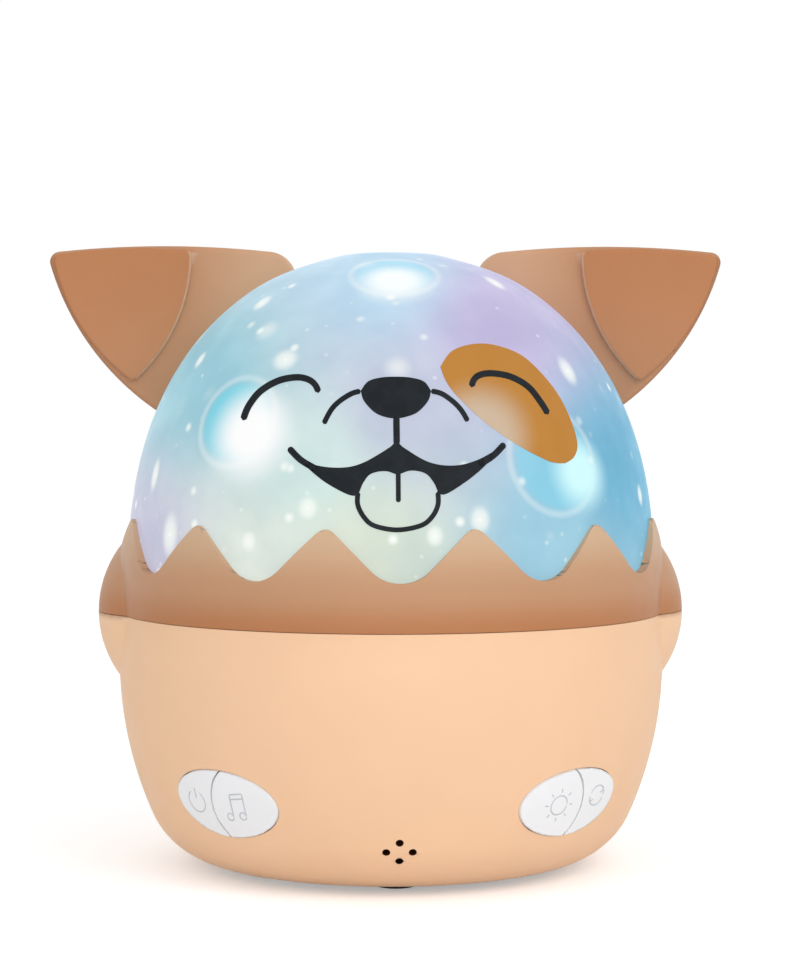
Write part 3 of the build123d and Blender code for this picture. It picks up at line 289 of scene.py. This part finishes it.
# Larger stars on the dome: place, half width, half height
dome_stars = (
    ((-51.8, -23.4, 88.3), 2.6, 5.2),
    ((-48.2, -33.5, 75.9), 4.2, 7.0),
    ((-23.6, -40.3, 113.1), 4.4, 3.2),
    ((-18.9, -54.7, 82.6), 3.0, 3.4),
    ((36.8, -31.0, 110.8), 3.6, 4.4),
    ((-28.7, -20.9, 125.5), 3.2, 2.4),
    ((53.7, -21.2, 83.7), 2.4, 3.4),
    ((16.5, -55.9, 80.2), 3.2, 4.2),
    ((-42.2, -20.0, 113.1), 2.4, 2.6),
    ((22.1, -19.0, 129.9), 3.0, 2.2),
    ((-31.0, -49.5, 75.5), 2.4, 3.0),
    ((7.0, -57.5, 77.0), 2.6, 3.2),
)


def star_group():
    """A four-pointed star with a soft glow, as a group of nodes that each star shares."""
    group = bpy.data.node_groups.new("four_point_star", "ShaderNodeTree")
    for name in ("Place", "Centre", "Across", "Up"):
        group.interface.new_socket(name, in_out="INPUT", socket_type="NodeSocketVector")
    group.interface.new_socket("Strength", in_out="OUTPUT", socket_type="NodeSocketFloat")
    given = add_node(group, "NodeGroupInput").outputs
    offset = vector_maths(group, "SUBTRACT", given["Place"], given["Centre"])
    sideways = maths(group, "ABSOLUTE", vector_maths(group, "DOT_PRODUCT", offset, given["Across"], "Value"))
    upwards = maths(group, "ABSOLUTE", vector_maths(group, "DOT_PRODUCT", offset, given["Up"], "Value"))
    points = maths(group, "ADD", maths(group, "SQRT", sideways), maths(group, "SQRT", upwards))
    away = maths(group, "ADD", maths(group, "POWER", sideways, 2.0), maths(group, "POWER", upwards, 2.0))
    halo = maths(group, "POWER", spread(group, away, 1.0, 0.0), 2.5)
    glow = maths(group, "MULTIPLY", halo, 0.75)
    strength = maths(group, "MAXIMUM", spread(group, points, 1.0, 0.35, 0.0, 0.95), glow)
    tree_end = add_node(group, "NodeGroupOutput")
    group.links.new(strength, tree_end.inputs["Strength"])
    return group


def dome_pattern(tree):
    """Painted light of the lamp on the dome: blended washes, three lit discs with rims, and stars."""
    place = place_of(tree)
    flat = vector_maths(tree, "MULTIPLY", place, (1.0, 0.0, 1.0))
    colour_sum, weight_sum = None, None
    for across, height, tint in dome_washes:
        away = vector_maths(tree, "DISTANCE", flat, (across * mm, 0.0, height * mm), "Value")
        soft = maths(tree, "ADD", maths(tree, "POWER", maths(tree, "DIVIDE", away, 9 * mm), 2.0), 1.0)
        weight = maths(tree, "POWER", soft, -1.8)
        share = scaled(tree, tint, weight)
        colour_sum = share if colour_sum is None else vector_maths(tree, "ADD", colour_sum, share)
        weight_sum = weight if weight_sum is None else maths(tree, "ADD", weight_sum, weight)
    colour = scaled(tree, colour_sum, maths(tree, "DIVIDE", 1.0, weight_sum))
    cloud = spread(tree, noise(tree, 16 * mm, 3.0), 0.3, 0.7)
    colour = mixed(tree, 1.0, colour, mixed(tree, cloud, (0.90, 0.93, 0.95), (1.06, 1.05, 1.04)), "MULTIPLY")

    def away_from(point):
        return vector_maths(tree, "DISTANCE", place, tuple(value * mm for value in point), "Value")

    def disc(colour, middle, radius, tint, depth):
        """A disc of light: tinted inside, with a thin bright rim."""
        away = away_from(middle)
        colour = mixed(tree, spread(tree, away, radius * mm, (radius - 2.5) * mm, 0.0, depth), colour, tint)
        rim_gap = maths(tree, "ABSOLUTE", maths(tree, "SUBTRACT", away, radius * mm))
        return mixed(tree, spread(tree, rim_gap, 1.3 * mm, 0.0, 0.0, 0.32), colour, (0.85, 0.95, 0.97))

    # A painted bright core of light that fades out from its middle.
    def core(colour, middle, reach, tint):
        return mixed(tree, spread(tree, away_from(middle), reach * mm, 0.25 * reach * mm), colour, tint)

    colour = disc(colour, (-34.1, -40.9, 100.3), 10.0, (0.16, 0.66, 0.80), 0.75)
    colour = disc(colour, (32.9, -45.2, 92.1), 11.5, (0.22, 0.66, 0.84), 0.6)
    colour = disc(colour, (-0.1, -25.5, 131.6), 9.5, (0.36, 0.76, 0.93), 0.6)
    colour = core(colour, (-30.8, -44.5, 98.0), 13.5, (1.0, 1.0, 1.0))
    colour = core(colour, (38.5, -41.4, 89.4), 10.5, (0.64, 0.97, 1.0))
    colour = core(colour, (-0.1, -29.0, 130.0), 10.5, (0.95, 1.0, 1.0))

    light = (0.97, 1.0, 0.95)
    for size, start, strength in ((13.0, 0.30, 0.5), (7.0, 0.22, 0.85), (4.5, 0.16, 0.4)):
        chosen = add_node(tree, "ShaderNodeSeparateColor")
        tree.links.new(cells(tree, size * mm, "Color"), chosen.inputs[0])
        keep = spread(tree, chosen.outputs[0], 0.35, 0.75, 0.0, strength)
        dots = spread(tree, cells(tree, size * mm), start, 0.03)
        colour = mixed(tree, maths(tree, "MULTIPLY", keep, dots), colour, light)
    group = star_group()
    for point, half_width, half_height in dome_stars:
        around = hypot(point[0], point[1])
        star = add_node(tree, "ShaderNodeGroup", node_tree=group)
        feed(tree, star.inputs["Place"], place)
        star.inputs["Centre"].default_value = [value * mm for value in point]
        width = half_width * mm * around
        star.inputs["Across"].default_value = (-point[1] / width, point[0] / width, 0.0)
        star.inputs["Up"].default_value = (0.0, 0.0, 1 / (half_height * mm))
        colour = mixed(tree, star.outputs["Strength"], colour, light)
    return colour


def lit_dome():
    """Frosted plastic with the lamp's pattern glowing through it."""
    material, tree, shader = new_material("lit_dome")
    colour = dome_pattern(tree)
    # The lamp's painted light goes into the base colour, dimmed, as well as into the emission.
    feed(tree, shader.inputs["Base Color"], mixed(tree, 1.0, colour, (0.27, 0.27, 0.27), "MULTIPLY"))
    feed(tree, shader.inputs["Emission Color"], colour)
    shader.inputs["Emission Strength"].default_value = 0.7
    shader.inputs["Specular IOR Level"].default_value = 0.3
    feed(tree, shader.inputs["Roughness"], spread(tree, noise(tree, 5 * mm), 0.3, 0.7, 0.42, 0.52))
    bumped(tree, shader, noise(tree, 0.5 * mm), 0.06, 0.03 * mm)
    return material


# Materials of the lamp's inside

def circuit_board():
    """Green solder mask over paler copper runs."""
    material, tree, shader = new_material("circuit_board")
    runs = add_node(tree, "ShaderNodeTexBrick")
    runs.inputs["Scale"].default_value = 1 / (9 * mm)
    runs.inputs["Mortar Size"].default_value = 0.035
    runs.inputs["Color1"].default_value = (0.022, 0.17, 0.07, 1.0)
    runs.inputs["Color2"].default_value = (0.026, 0.20, 0.085, 1.0)
    runs.inputs["Mortar"].default_value = (0.06, 0.34, 0.15, 1.0)
    tree.links.new(place_of(tree), runs.inputs["Vector"])
    feed(tree, shader.inputs["Base Color"], runs.outputs["Color"])
    feed(tree, shader.inputs["Roughness"], spread(tree, noise(tree, 3 * mm), 0.3, 0.7, 0.3, 0.42))
    bumped(tree, shader, runs.outputs["Fac"], 0.3, 0.05 * mm)
    return material


def cell_foil():
    """Silver wrap with soft creases."""
    material, tree, shader = new_material("cell_foil")
    creases = noise(tree, 6 * mm, 3.0)
    # The colour is darker in the dips of the creases and paler on their ridges: painted shade and light.
    feed(tree, shader.inputs["Base Color"], mixed(tree, creases, (0.52, 0.54, 0.58), (0.68, 0.70, 0.74)))
    shader.inputs["Metallic"].default_value = 0.9
    feed(tree, shader.inputs["Roughness"], spread(tree, creases, 0.3, 0.7, 0.3, 0.42))
    bumped(tree, shader, creases, 0.35, 0.3 * mm)
    return material


def star_film():
    """Dark printed film with clear star dots."""
    material, tree, shader = new_material("star_film")
    dots = spread(tree, cells(tree, 6 * mm), 0.2, 0.12)
    night = mixed(tree, noise(tree, 12 * mm), (0.02, 0.035, 0.09), (0.05, 0.08, 0.17))
    feed(tree, shader.inputs["Base Color"], mixed(tree, dots, night, (0.75, 0.85, 0.95)))
    feed(tree, shader.inputs["Roughness"], spread(tree, noise(tree, 4 * mm), 0.3, 0.7, 0.14, 0.24))
    return material


def clear_lens():
    """Water-clear lens over a yellow phosphor."""
    material, tree, shader = new_material("clear_lens")
    glow = noise(tree, 2 * mm)
    feed(tree, shader.inputs["Base Color"], mixed(tree, glow, (0.88, 0.84, 0.55), (0.95, 0.95, 0.88)))
    feed(tree, shader.inputs["Roughness"], spread(tree, glow, 0.3, 0.7, 0.08, 0.18))
    shader.inputs["Coat Weight"].default_value = 0.5
    return material


def soft_matt(name, dark, light, grain, strength, roughness=0.8):
    """Rubber, paper and wire insulation: matt, with a grain that shows."""
    material, tree, shader = new_material(name)
    fibre = noise(tree, grain, 4.0)
    feed(tree, shader.inputs["Base Color"], mixed(tree, fibre, dark, light))
    feed(tree, shader.inputs["Roughness"], spread(tree, fibre, 0.3, 0.7, roughness - 0.08, roughness + 0.08))
    bumped(tree, shader, fibre, strength, 0.1 * mm)
    return material


# Modelling helpers

def deselect_all():
    if bpy.context.object is not None and bpy.context.object.mode != "OBJECT":
        bpy.ops.object.mode_set(mode="OBJECT")
    bpy.ops.object.select_all(action="DESELECT")


def close_mesh(gap):
    bpy.ops.object.mode_set(mode="EDIT")
    bpy.ops.mesh.select_all(action="SELECT")
    bpy.ops.mesh.remove_doubles(threshold=gap)
    bpy.ops.object.mode_set(mode="OBJECT")


def bowl_way(point):
    """Outward direction of the base's curved side, or None where the point isn't on it."""
    around = hypot(point.x, point.y)
    out, rise = around - body_radius + bowl_curve, point.z - bowl_top
    if rise > 0 or abs(hypot(out, rise) - bowl_curve) > 0.05 * mm:
        return None
    return Vector((point.x / around * out, point.y / around * out, rise)).normalized()


def collar_way(point):
    """Outward direction of the collar's outer face, or None where the point isn't on it."""
    around = hypot(point.x, point.y)
    share = max(point.z - dome_shoulder, 0.0) / dome_rise
    outside = body_radius * (1 - share**dome_power)**(1 / dome_power)
    if abs(around - outside) > 0.2 * mm:
        return None
    lean = body_radius / dome_rise * share**(dome_power - 1)
    return Vector((point.x / around, point.y / around, lean)).normalized()


def ear_way(point):
    """Backward direction of an ear's flat back, or None where the point isn't on it."""
    return Vector((0.0, 1.0, 0.0)) if abs(point.y - ear_back) < 0.05 * mm else None


def true_shading(moulding, way):
    """Shades an outer face by its exact direction, so that the triangles round its holes don't show."""
    mesh = moulding.data
    shading = [Vector(corner.vector) for corner in mesh.corner_normals]
    exact = [way(vertex.co) for vertex in mesh.vertices]
    for face in mesh.polygons:
        if all(exact[spot] is not None for spot in face.vertices):
            for corner, spot in zip(face.loop_indices, face.vertices):
                shading[corner] = exact[spot]
    mesh.normals_split_custom_set(shading)


def smooth_moulding(node_name, body, material):
    """The solid piece as one merged mesh that shades smoothly up to its edges."""
    deselect_all()
    moulding = bpy.data.objects.new(node_name + "_moulding", frame["nodes"][node_name].data.copy())
    scene.collection.objects.link(moulding)
    moulding.select_set(True)
    bpy.context.view_layer.objects.active = moulding
    close_mesh(0.001 * mm)
    bpy.ops.object.shade_smooth_by_angle(angle=edge_angle)
    bpy.ops.object.modifier_add(type="WEIGHTED_NORMAL")
    moulding.modifiers[-1].keep_sharp = True
    bpy.ops.object.modifier_apply(modifier=moulding.modifiers[-1].name)
    dress(moulding, material)
    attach(moulding, body)
    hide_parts(node_name)
    return moulding


def dress(piece, material):
    piece.data.materials.clear()
    piece.data.materials.append(material)


curve_parts = 12


def curve_through(points, steps):
    """Evenly spaced points on a smooth curve through the given ones."""
    dense = []
    last = len(points) - 1
    for index in range(last):
        before = Vector(points[max(index - 1, 0)])
        start, end = Vector(points[index]), Vector(points[index + 1])
        after = Vector(points[min(index + 2, last)])
        for part in range(curve_parts):
            t = part / curve_parts
            bend = 2 * before - 5 * start + 4 * end - after
            twist = 3 * start - before - 3 * end + after
            dense.append(0.5 * (2 * start + (end - before) * t + bend * t**2 + twist * t**3))
    dense.append(Vector(points[last]))
    run = [0.0]
    for first, second in zip(dense, dense[1:]):
        run.append(run[-1] + (second - first).length)
    even = []
    spot = 0
    for step in range(steps + 1):
        wanted = run[-1] * step / steps
        while spot < len(run) - 2 and run[spot + 1] < wanted:
            spot += 1
        share = (wanted - run[spot]) / max(run[spot + 1] - run[spot], 1e-9)
        even.append(dense[spot].lerp(dense[spot + 1], share))
    return even


def thin_sheet(name, columns, rows, lay, thickness):
    """A layer of ink: a grid whose points lay() puts on the skin, given its thickness."""
    deselect_all()
    bpy.ops.mesh.primitive_grid_add(x_subdivisions=columns, y_subdivisions=rows, size=1)
    sheet = bpy.context.object
    sheet.name = name
    for vertex in sheet.data.vertices:
        vertex.co = lay(vertex.co.x + 0.5, vertex.co.y + 0.5)
    close_mesh(0.005 * mm)
    bpy.ops.object.modifier_add(type="SOLIDIFY")
    sheet.modifiers[-1].thickness = thickness
    sheet.modifiers[-1].offset = -1.0
    bpy.ops.object.modifier_apply(modifier=sheet.modifiers[-1].name)
    bpy.ops.object.shade_smooth_by_angle(angle=radians(50))
    return sheet


def between(upper, lower, columns, skin):
    """Lays a sheet between two edge curves."""
    high, low = curve_through(upper, columns), curve_through(lower, columns)

    def lay(u, v):
        spot = round(u * columns)
        return skin(low[spot].lerp(high[spot], v))
    return lay


def along(points, width, columns, skin):
    """Lays a stroke with round ends along a curve."""
    line = curve_through(points, columns)
    length = sum((second - first).length for first, second in zip(line, line[1:]))

    def lay(u, v):
        spot = round(u * columns)
        ahead = (line[min(spot + 1, columns)] - line[max(spot - 1, 0)]).normalized()
        end_gap = min(u, 1 - u) * length
        half = width / 2
        if end_gap < half:
            half = (half**2 - (half - end_gap)**2)**0.5
        return skin(line[spot] + Vector((-ahead.y, ahead.x)) * half * (2 * v - 1))
    return lay


# The pieces that show, shaded as smooth mouldings
peach = peach_plastic()
brown_ear = ear_plastic()
white_button = moulded_plastic("white_button", (0.88, 0.885, 0.905), (0.91, 0.915, 0.935), 0.45)
dome = smooth_moulding("dome", "cover", lit_dome())
true_shading(smooth_moulding("collar", "cover", collar_plastic()), collar_way)
true_shading(smooth_moulding("left_ear", "cover", brown_ear), ear_way)
true_shading(smooth_moulding("right_ear", "cover", brown_ear), ear_way)
true_shading(smooth_moulding("base_shell", "base", peach), bowl_way)
smooth_moulding("bottom_cover", "base", peach)
buttons = {}
for button_name in ("power", "music", "light", "rotate"):
    buttons[button_name] = smooth_moulding(button_name + "_button", button_name, white_button)

# The pieces inside
inner_white = moulded_plastic("inner_white", (0.76, 0.76, 0.74), (0.82, 0.82, 0.80), 0.5)
gear_white = moulded_plastic("gear_white", (0.74, 0.74, 0.70), (0.80, 0.80, 0.76), 0.35)
black_case = moulded_plastic("black_case", (0.016, 0.016, 0.017), (0.03, 0.03, 0.032), 0.5)
zinc_steel = worked_metal("zinc_steel", (0.42, 0.42, 0.41), (0.60, 0.60, 0.60), 0.34)
can_steel = worked_metal("can_steel", (0.50, 0.50, 0.51), (0.64, 0.64, 0.65), 0.3, (1.0, 1.0, 0.1))
dark_iron = worked_metal("dark_iron", (0.12, 0.12, 0.125), (0.20, 0.20, 0.21), 0.42)
green_board = circuit_board()
wire_sleeve = soft_matt("wire_sleeve", (0.46, 0.03, 0.022), (0.60, 0.05, 0.035), 1.5 * mm, 0.1, 0.55)
foot_rubber = soft_matt("foot_rubber", (0.022, 0.019, 0.018), (0.036, 0.031, 0.03), 0.6 * mm, 0.3)
cone_paper = soft_matt("cone_paper", (0.035, 0.035, 0.035), (0.075, 0.075, 0.072), 0.8 * mm, 0.5, 0.85)
inner_finish = {
    inner_white: ("battery_strap", "deck"),
    gear_white: ("turntable", "drive_pinion"),
    black_case: ("board_chips", "tact_switches", "power_plunger", "music_plunger", "light_plunger",
                 "rotate_plunger"),
    zinc_steel: ("ear_screws", "bottom_screws", "strap_screws", "deck_screws", "led_screws", "motor_screws",
                 "board_screws", "switch_screws", "charge_screws", "motor_shaft"),
    can_steel: ("gear_motor", "speaker_frame", "usb_socket"),
    dark_iron: ("speaker_magnet",),
    green_board: ("led_board", "main_board", "left_switch_board", "right_switch_board", "charge_board"),
    wire_sleeve: ("battery_leads", "speaker_leads", "light_leads", "motor_leads"),
    foot_rubber: ("rubber_feet",),
    cone_paper: ("speaker_cone",),
    cell_foil(): ("battery_cell",),
    star_film(): ("film_dome",),
    clear_lens(): ("leds",),
}
for material, node_names in inner_finish.items():
    for node_name in node_names:
        dress(frame["nodes"][node_name], material)

# The printed face, drawn as across and height in millimetres on the front of the dome
patch_lift, ink_lift, ink_thickness = 0.12 * mm, 0.2 * mm, 0.2 * mm
slate_ink = printed_ink("slate_ink", (0.011, 0.014, 0.017), (0.015, 0.019, 0.023))
bpy.context.view_layer.update()


def dome_skin(lift):
    """Gives the function that puts a drawn point on the dome, this far off it."""
    def skin(spot):
        start = Vector((spot.x * mm, -200 * mm, spot.y * mm))
        _, point, normal, _ = dome.ray_cast(start, Vector((0.0, 1.0, 0.0)))
        return point + normal * lift
    return skin


def print_on_dome(name, columns, rows, lay, ink):
    sheet = thin_sheet(name, columns, rows, lay, ink_thickness)
    dress(sheet, ink)
    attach(sheet, "cover")


on_dome = dome_skin(ink_lift)
nose_left, nose_right = (-7.9, 106.6), (6.6, 106.6)
nose_top = (nose_left, (-6.4, 108.5), (-3.9, 109.3), (-0.7, 109.5), (2.5, 109.3), (5.2, 108.5), nose_right)
nose_bottom = (nose_left, (-7.3, 104.6), (-5.2, 102.3), (-3.0, 101.3), (-0.8, 101.0), (1.3, 101.3),
               (3.8, 102.3), (6.0, 104.6), nose_right)
mouth_left, mouth_right = (-22.5, 94.4), (21.5, 95.3)
mouth_top = (mouth_left, (-18.0, 91.6), (-12.2, 90.9), (-7.6, 91.9), (-2.2, 95.0), (-0.7, 96.3), (0.8, 95.0),
             (5.8, 92.1), (10.9, 91.3), (16.0, 92.4), mouth_right)
mouth_bottom = (mouth_left, (-18.0, 90.0), (-14.0, 87.1), (-9.3, 85.2), (-7.6, 87.8), (-6.4, 89.4),
                (-4.7, 90.1), (-2.6, 90.2), (-0.5, 89.6), (1.8, 90.3), (3.9, 90.2), (5.6, 89.5), (6.9, 87.9),
                (8.7, 85.4), (13.4, 87.9), (17.6, 91.2), mouth_right)
patch_near, patch_far = (8.7, 111.6), (35.1, 91.4)
patch_top = (patch_near, (11.3, 114.9), (16.1, 116.4), (21.3, 116.0), (27.1, 113.5), (32.8, 107.6),
             (36.1, 101.9), (38.0, 95.8), (37.2, 92.7), patch_far)
patch_bottom = (patch_near, (10.0, 108.3), (12.7, 104.9), (18.2, 99.8), (25.0, 95.2), (30.8, 92.2),
                (33.1, 91.5), patch_far)
patch_lay = between(patch_top, patch_bottom, 72, dome_skin(patch_lift))
print_on_dome("eye_patch", 72, 24, patch_lay, patch_ink())
print_on_dome("nose", 48, 12, between(nose_top, nose_bottom, 48, on_dome), slate_ink)
print_on_dome("mouth", 120, 6, between(mouth_top, mouth_bottom, 120, on_dome), slate_ink)
face_strokes = {
    "left_eye": (1.3, ((-32.4, 100.4), (-31.2, 103.4), (-28.7, 106.5), (-24.9, 108.7), (-21.1, 109.4),
                       (-18.6, 108.9), (-17.2, 107.7), (-16.6, 106.2))),
    "right_eye": (1.3, ((31.6, 101.6), (30.0, 104.2), (27.4, 107.4), (23.6, 109.5), (19.7, 110.2),
                        (17.1, 109.9), (15.7, 108.9), (15.1, 107.3))),
    "left_muzzle": (1.0, (nose_left, (-9.9, 106.0), (-12.4, 104.4), (-14.1, 102.6), (-15.6, 99.8))),
    "right_muzzle": (1.0, (nose_right, (8.9, 106.0), (11.4, 104.2), (13.0, 102.4), (14.2, 100.3))),
    "mouth_left_end": (1.35, ((-22.8, 94.9), (-20.3, 92.4), (-17.0, 90.5))),
    "mouth_right_end": (1.35, ((21.9, 95.7), (19.3, 93.2), (16.0, 91.2))),
    "nose_line": (1.35, ((-0.65, 101.4), (-0.65, 98.6), (-0.65, 95.6))),
    "tongue": (1.0, ((-8.6, 86.2), (-8.7, 83.4), (-7.3, 80.7), (-5.2, 79.1), (-0.7, 78.3), (4.0, 79.1),
                     (6.3, 80.7), (7.7, 83.3), (7.7, 86.2))),
    "tongue_line": (1.0, ((-0.4, 90.2), (-0.4, 87.0), (-0.4, 83.9))),
}
for stroke_name, (width, points) in face_strokes.items():
    print_on_dome(stroke_name, 48, 4, along(points, width, 48, on_dome), slate_ink)

# Symbols on the buttons, drawn as across and up in millimetres from the middle of each oval
oval_across, oval_height = 36.7 * mm, 19.7 * mm
symbol_ink = printed_ink("symbol_ink", (0.54, 0.56, 0.60), (0.62, 0.64, 0.68))
line_width, symbol_lift, symbol_thickness = 0.3, 0.05 * mm, 0.1 * mm
ring_steps = 24


def ring(centre, radius, start, end):
    """Points on an arc, in degrees anticlockwise from the right."""
    turns = [radians(start + (end - start) * step / ring_steps) for step in range(ring_steps + 1)]
    return [(centre[0] + radius * cos(turn), centre[1] + radius * sin(turn)) for turn in turns]


def ray(centre, turn, near, far):
    way = Vector((cos(turn), sin(turn)))
    return [Vector(centre) + way * near, Vector(centre) + way * far]


def button_skin(name):
    """Gives the function that puts a drawn point on a button's cap."""
    axis = next(Vector(joint["axis"]) for joint in frame["record"]["behaviour"]["joints"]
                if joint["name"] == name + "_press")
    outwards = -axis
    across = Vector((0.0, 0.0, 1.0)).cross(outwards).normalized()
    up = outwards.cross(across)
    reach = oval_across / abs(outwards.x)
    middle = Vector((outwards.x * reach, outwards.y * reach, oval_height))

    def skin(spot):
        start = middle + across * spot.x * mm + up * spot.y * mm + outwards * 20 * mm
        _, point, normal, _ = buttons[name].ray_cast(start, axis)
        return point + normal * symbol_lift
    return skin


power_middle, note_middle, sun_middle, turn_middle = (-7.6, -0.1), (3.7, 0.0), (-3.9, -0.1), (7.6, 0.8)
note_left, note_right = note_middle[0] - 1.2, note_middle[0] + 2.2
note_low, note_high, beam_rise, head_radius = -2.6, 2.6, 0.4, 0.85
power_symbol = [ring(power_middle, 2.5, 120, 420), [(power_middle[0], 0.6), (power_middle[0], 3.0)]]
music_symbol = [
    [(note_left, note_low), (note_left, note_high)],
    [(note_right, note_low + beam_rise), (note_right, note_high + beam_rise)],
    [(note_left, note_high), (note_right, note_high + beam_rise)],
    [(note_left, note_high - 1.1), (note_right, note_high - 0.7)],
    ring((note_left - head_radius, note_low), head_radius, 0, 360),
    ring((note_right - head_radius, note_low + beam_rise), head_radius, 0, 360),
]
light_symbol = [ring(sun_middle, 2.2, 0, 360)]
for step in range(8):
    light_symbol.append(ray(sun_middle, step * pi / 4, 2.9, 3.8))
rotate_symbol = [
    ring(turn_middle, 2.3, 20, 160),
    ring(turn_middle, 2.3, 200, 340),
    [(turn_middle[0] + 2.2, 0.5), (turn_middle[0] + 2.15, 1.6), (turn_middle[0] + 1.0, 1.3)],
    [(turn_middle[0] - 2.2, 0.9), (turn_middle[0] - 2.15, -0.2), (turn_middle[0] - 1.0, 0.1)],
]
symbols = {"power": power_symbol, "music": music_symbol, "light": light_symbol, "rotate": rotate_symbol}
for button_name, strokes in symbols.items():
    skin = button_skin(button_name)
    lines = []
    for points in strokes:
        lay = along(points, line_width, 24, skin)
        lines.append(thin_sheet(button_name + "_symbol", 24, 2, lay, symbol_thickness))
    deselect_all()
    for line in lines:
        line.select_set(True)
    bpy.context.view_layer.objects.active = lines[0]
    bpy.ops.object.join()
    dress(lines[0], symbol_ink)
    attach(lines[0], button_name)

# Floor, light and camera

def seen_rays(tree):
    """One for rays from the camera, from reflections and through clear pieces, and nothing for others."""
    paths = add_node(tree, "ShaderNodeLightPath").outputs
    seen = maths(tree, "MAXIMUM", paths["Is Camera Ray"], paths["Is Glossy Ray"])
    return maths(tree, "MAXIMUM", seen, paths["Is Transmission Ray"])


def floor_paint():
    """Pale studio floor that keeps the lamp's shadow and reads as white to the eye and in reflections."""
    material, tree, shader = new_material("floor_paint")
    paint = mixed(tree, noise(tree, 300 * mm), (0.905, 0.93, 0.95), (0.925, 0.95, 0.97))
    feed(tree, shader.inputs["Base Color"], paint)
    shader.inputs["Roughness"].default_value = 0.9
    shader.inputs["Specular IOR Level"].default_value = 0.0
    shader.inputs["Emission Color"].default_value = (1.0, 1.0, 1.0, 1.0)
    feed(tree, shader.inputs["Emission Strength"], maths(tree, "MULTIPLY", seen_rays(tree), 0.34))
    return material


deselect_all()
bpy.ops.mesh.primitive_plane_add(size=8)
floor = bpy.context.object
floor.name = "floor"
dress(floor, floor_paint())

world = bpy.data.worlds.new("studio")
world.use_nodes = True
scene.world = world
sky_tree = world.node_tree
sky = sky_tree.nodes["Background"]
sky.inputs["Color"].default_value = (1.0, 1.0, 1.0, 1.0)
feed(sky_tree, sky.inputs["Strength"], spread(sky_tree, seen_rays(sky_tree), 0.0, 1.0, 0.74, 1.0))


def soft_lamp(name, place, aim, size, watts):
    way = Vector(aim) - Vector(place)
    bpy.ops.object.light_add(type="AREA", location=place, rotation=way.to_track_quat("-Z", "Y").to_euler())
    lamp = bpy.context.object
    lamp.name = name
    lamp.data.size = size
    lamp.data.energy = watts


soft_lamp("key_lamp", (0.7, -0.9, 0.9), (0.0, 0.0, 0.07), 0.8, 3.5)
soft_lamp("front_lamp", (0.1, -1.3, 0.2), (0.0, 0.0, 0.05), 0.9, 1.85)
soft_lamp("low_lamp", (-0.1, -1.1, 0.03), (0.0, 0.0, 0.02), 0.6, 2.2)

eye = Vector((-0.0209, -0.6297, 0.1112))
aim = Vector((0.00034, 0.0, 0.0862))
bpy.ops.object.camera_add(location=eye, rotation=(aim - eye).to_track_quat("-Z", "Y").to_euler())
camera = bpy.context.object
camera.data.sensor_fit = "VERTICAL"
camera.data.sensor_height = 36.0
camera.data.lens = 105.0
scene.camera = camera
scene.view_settings.view_transform = "Standard"
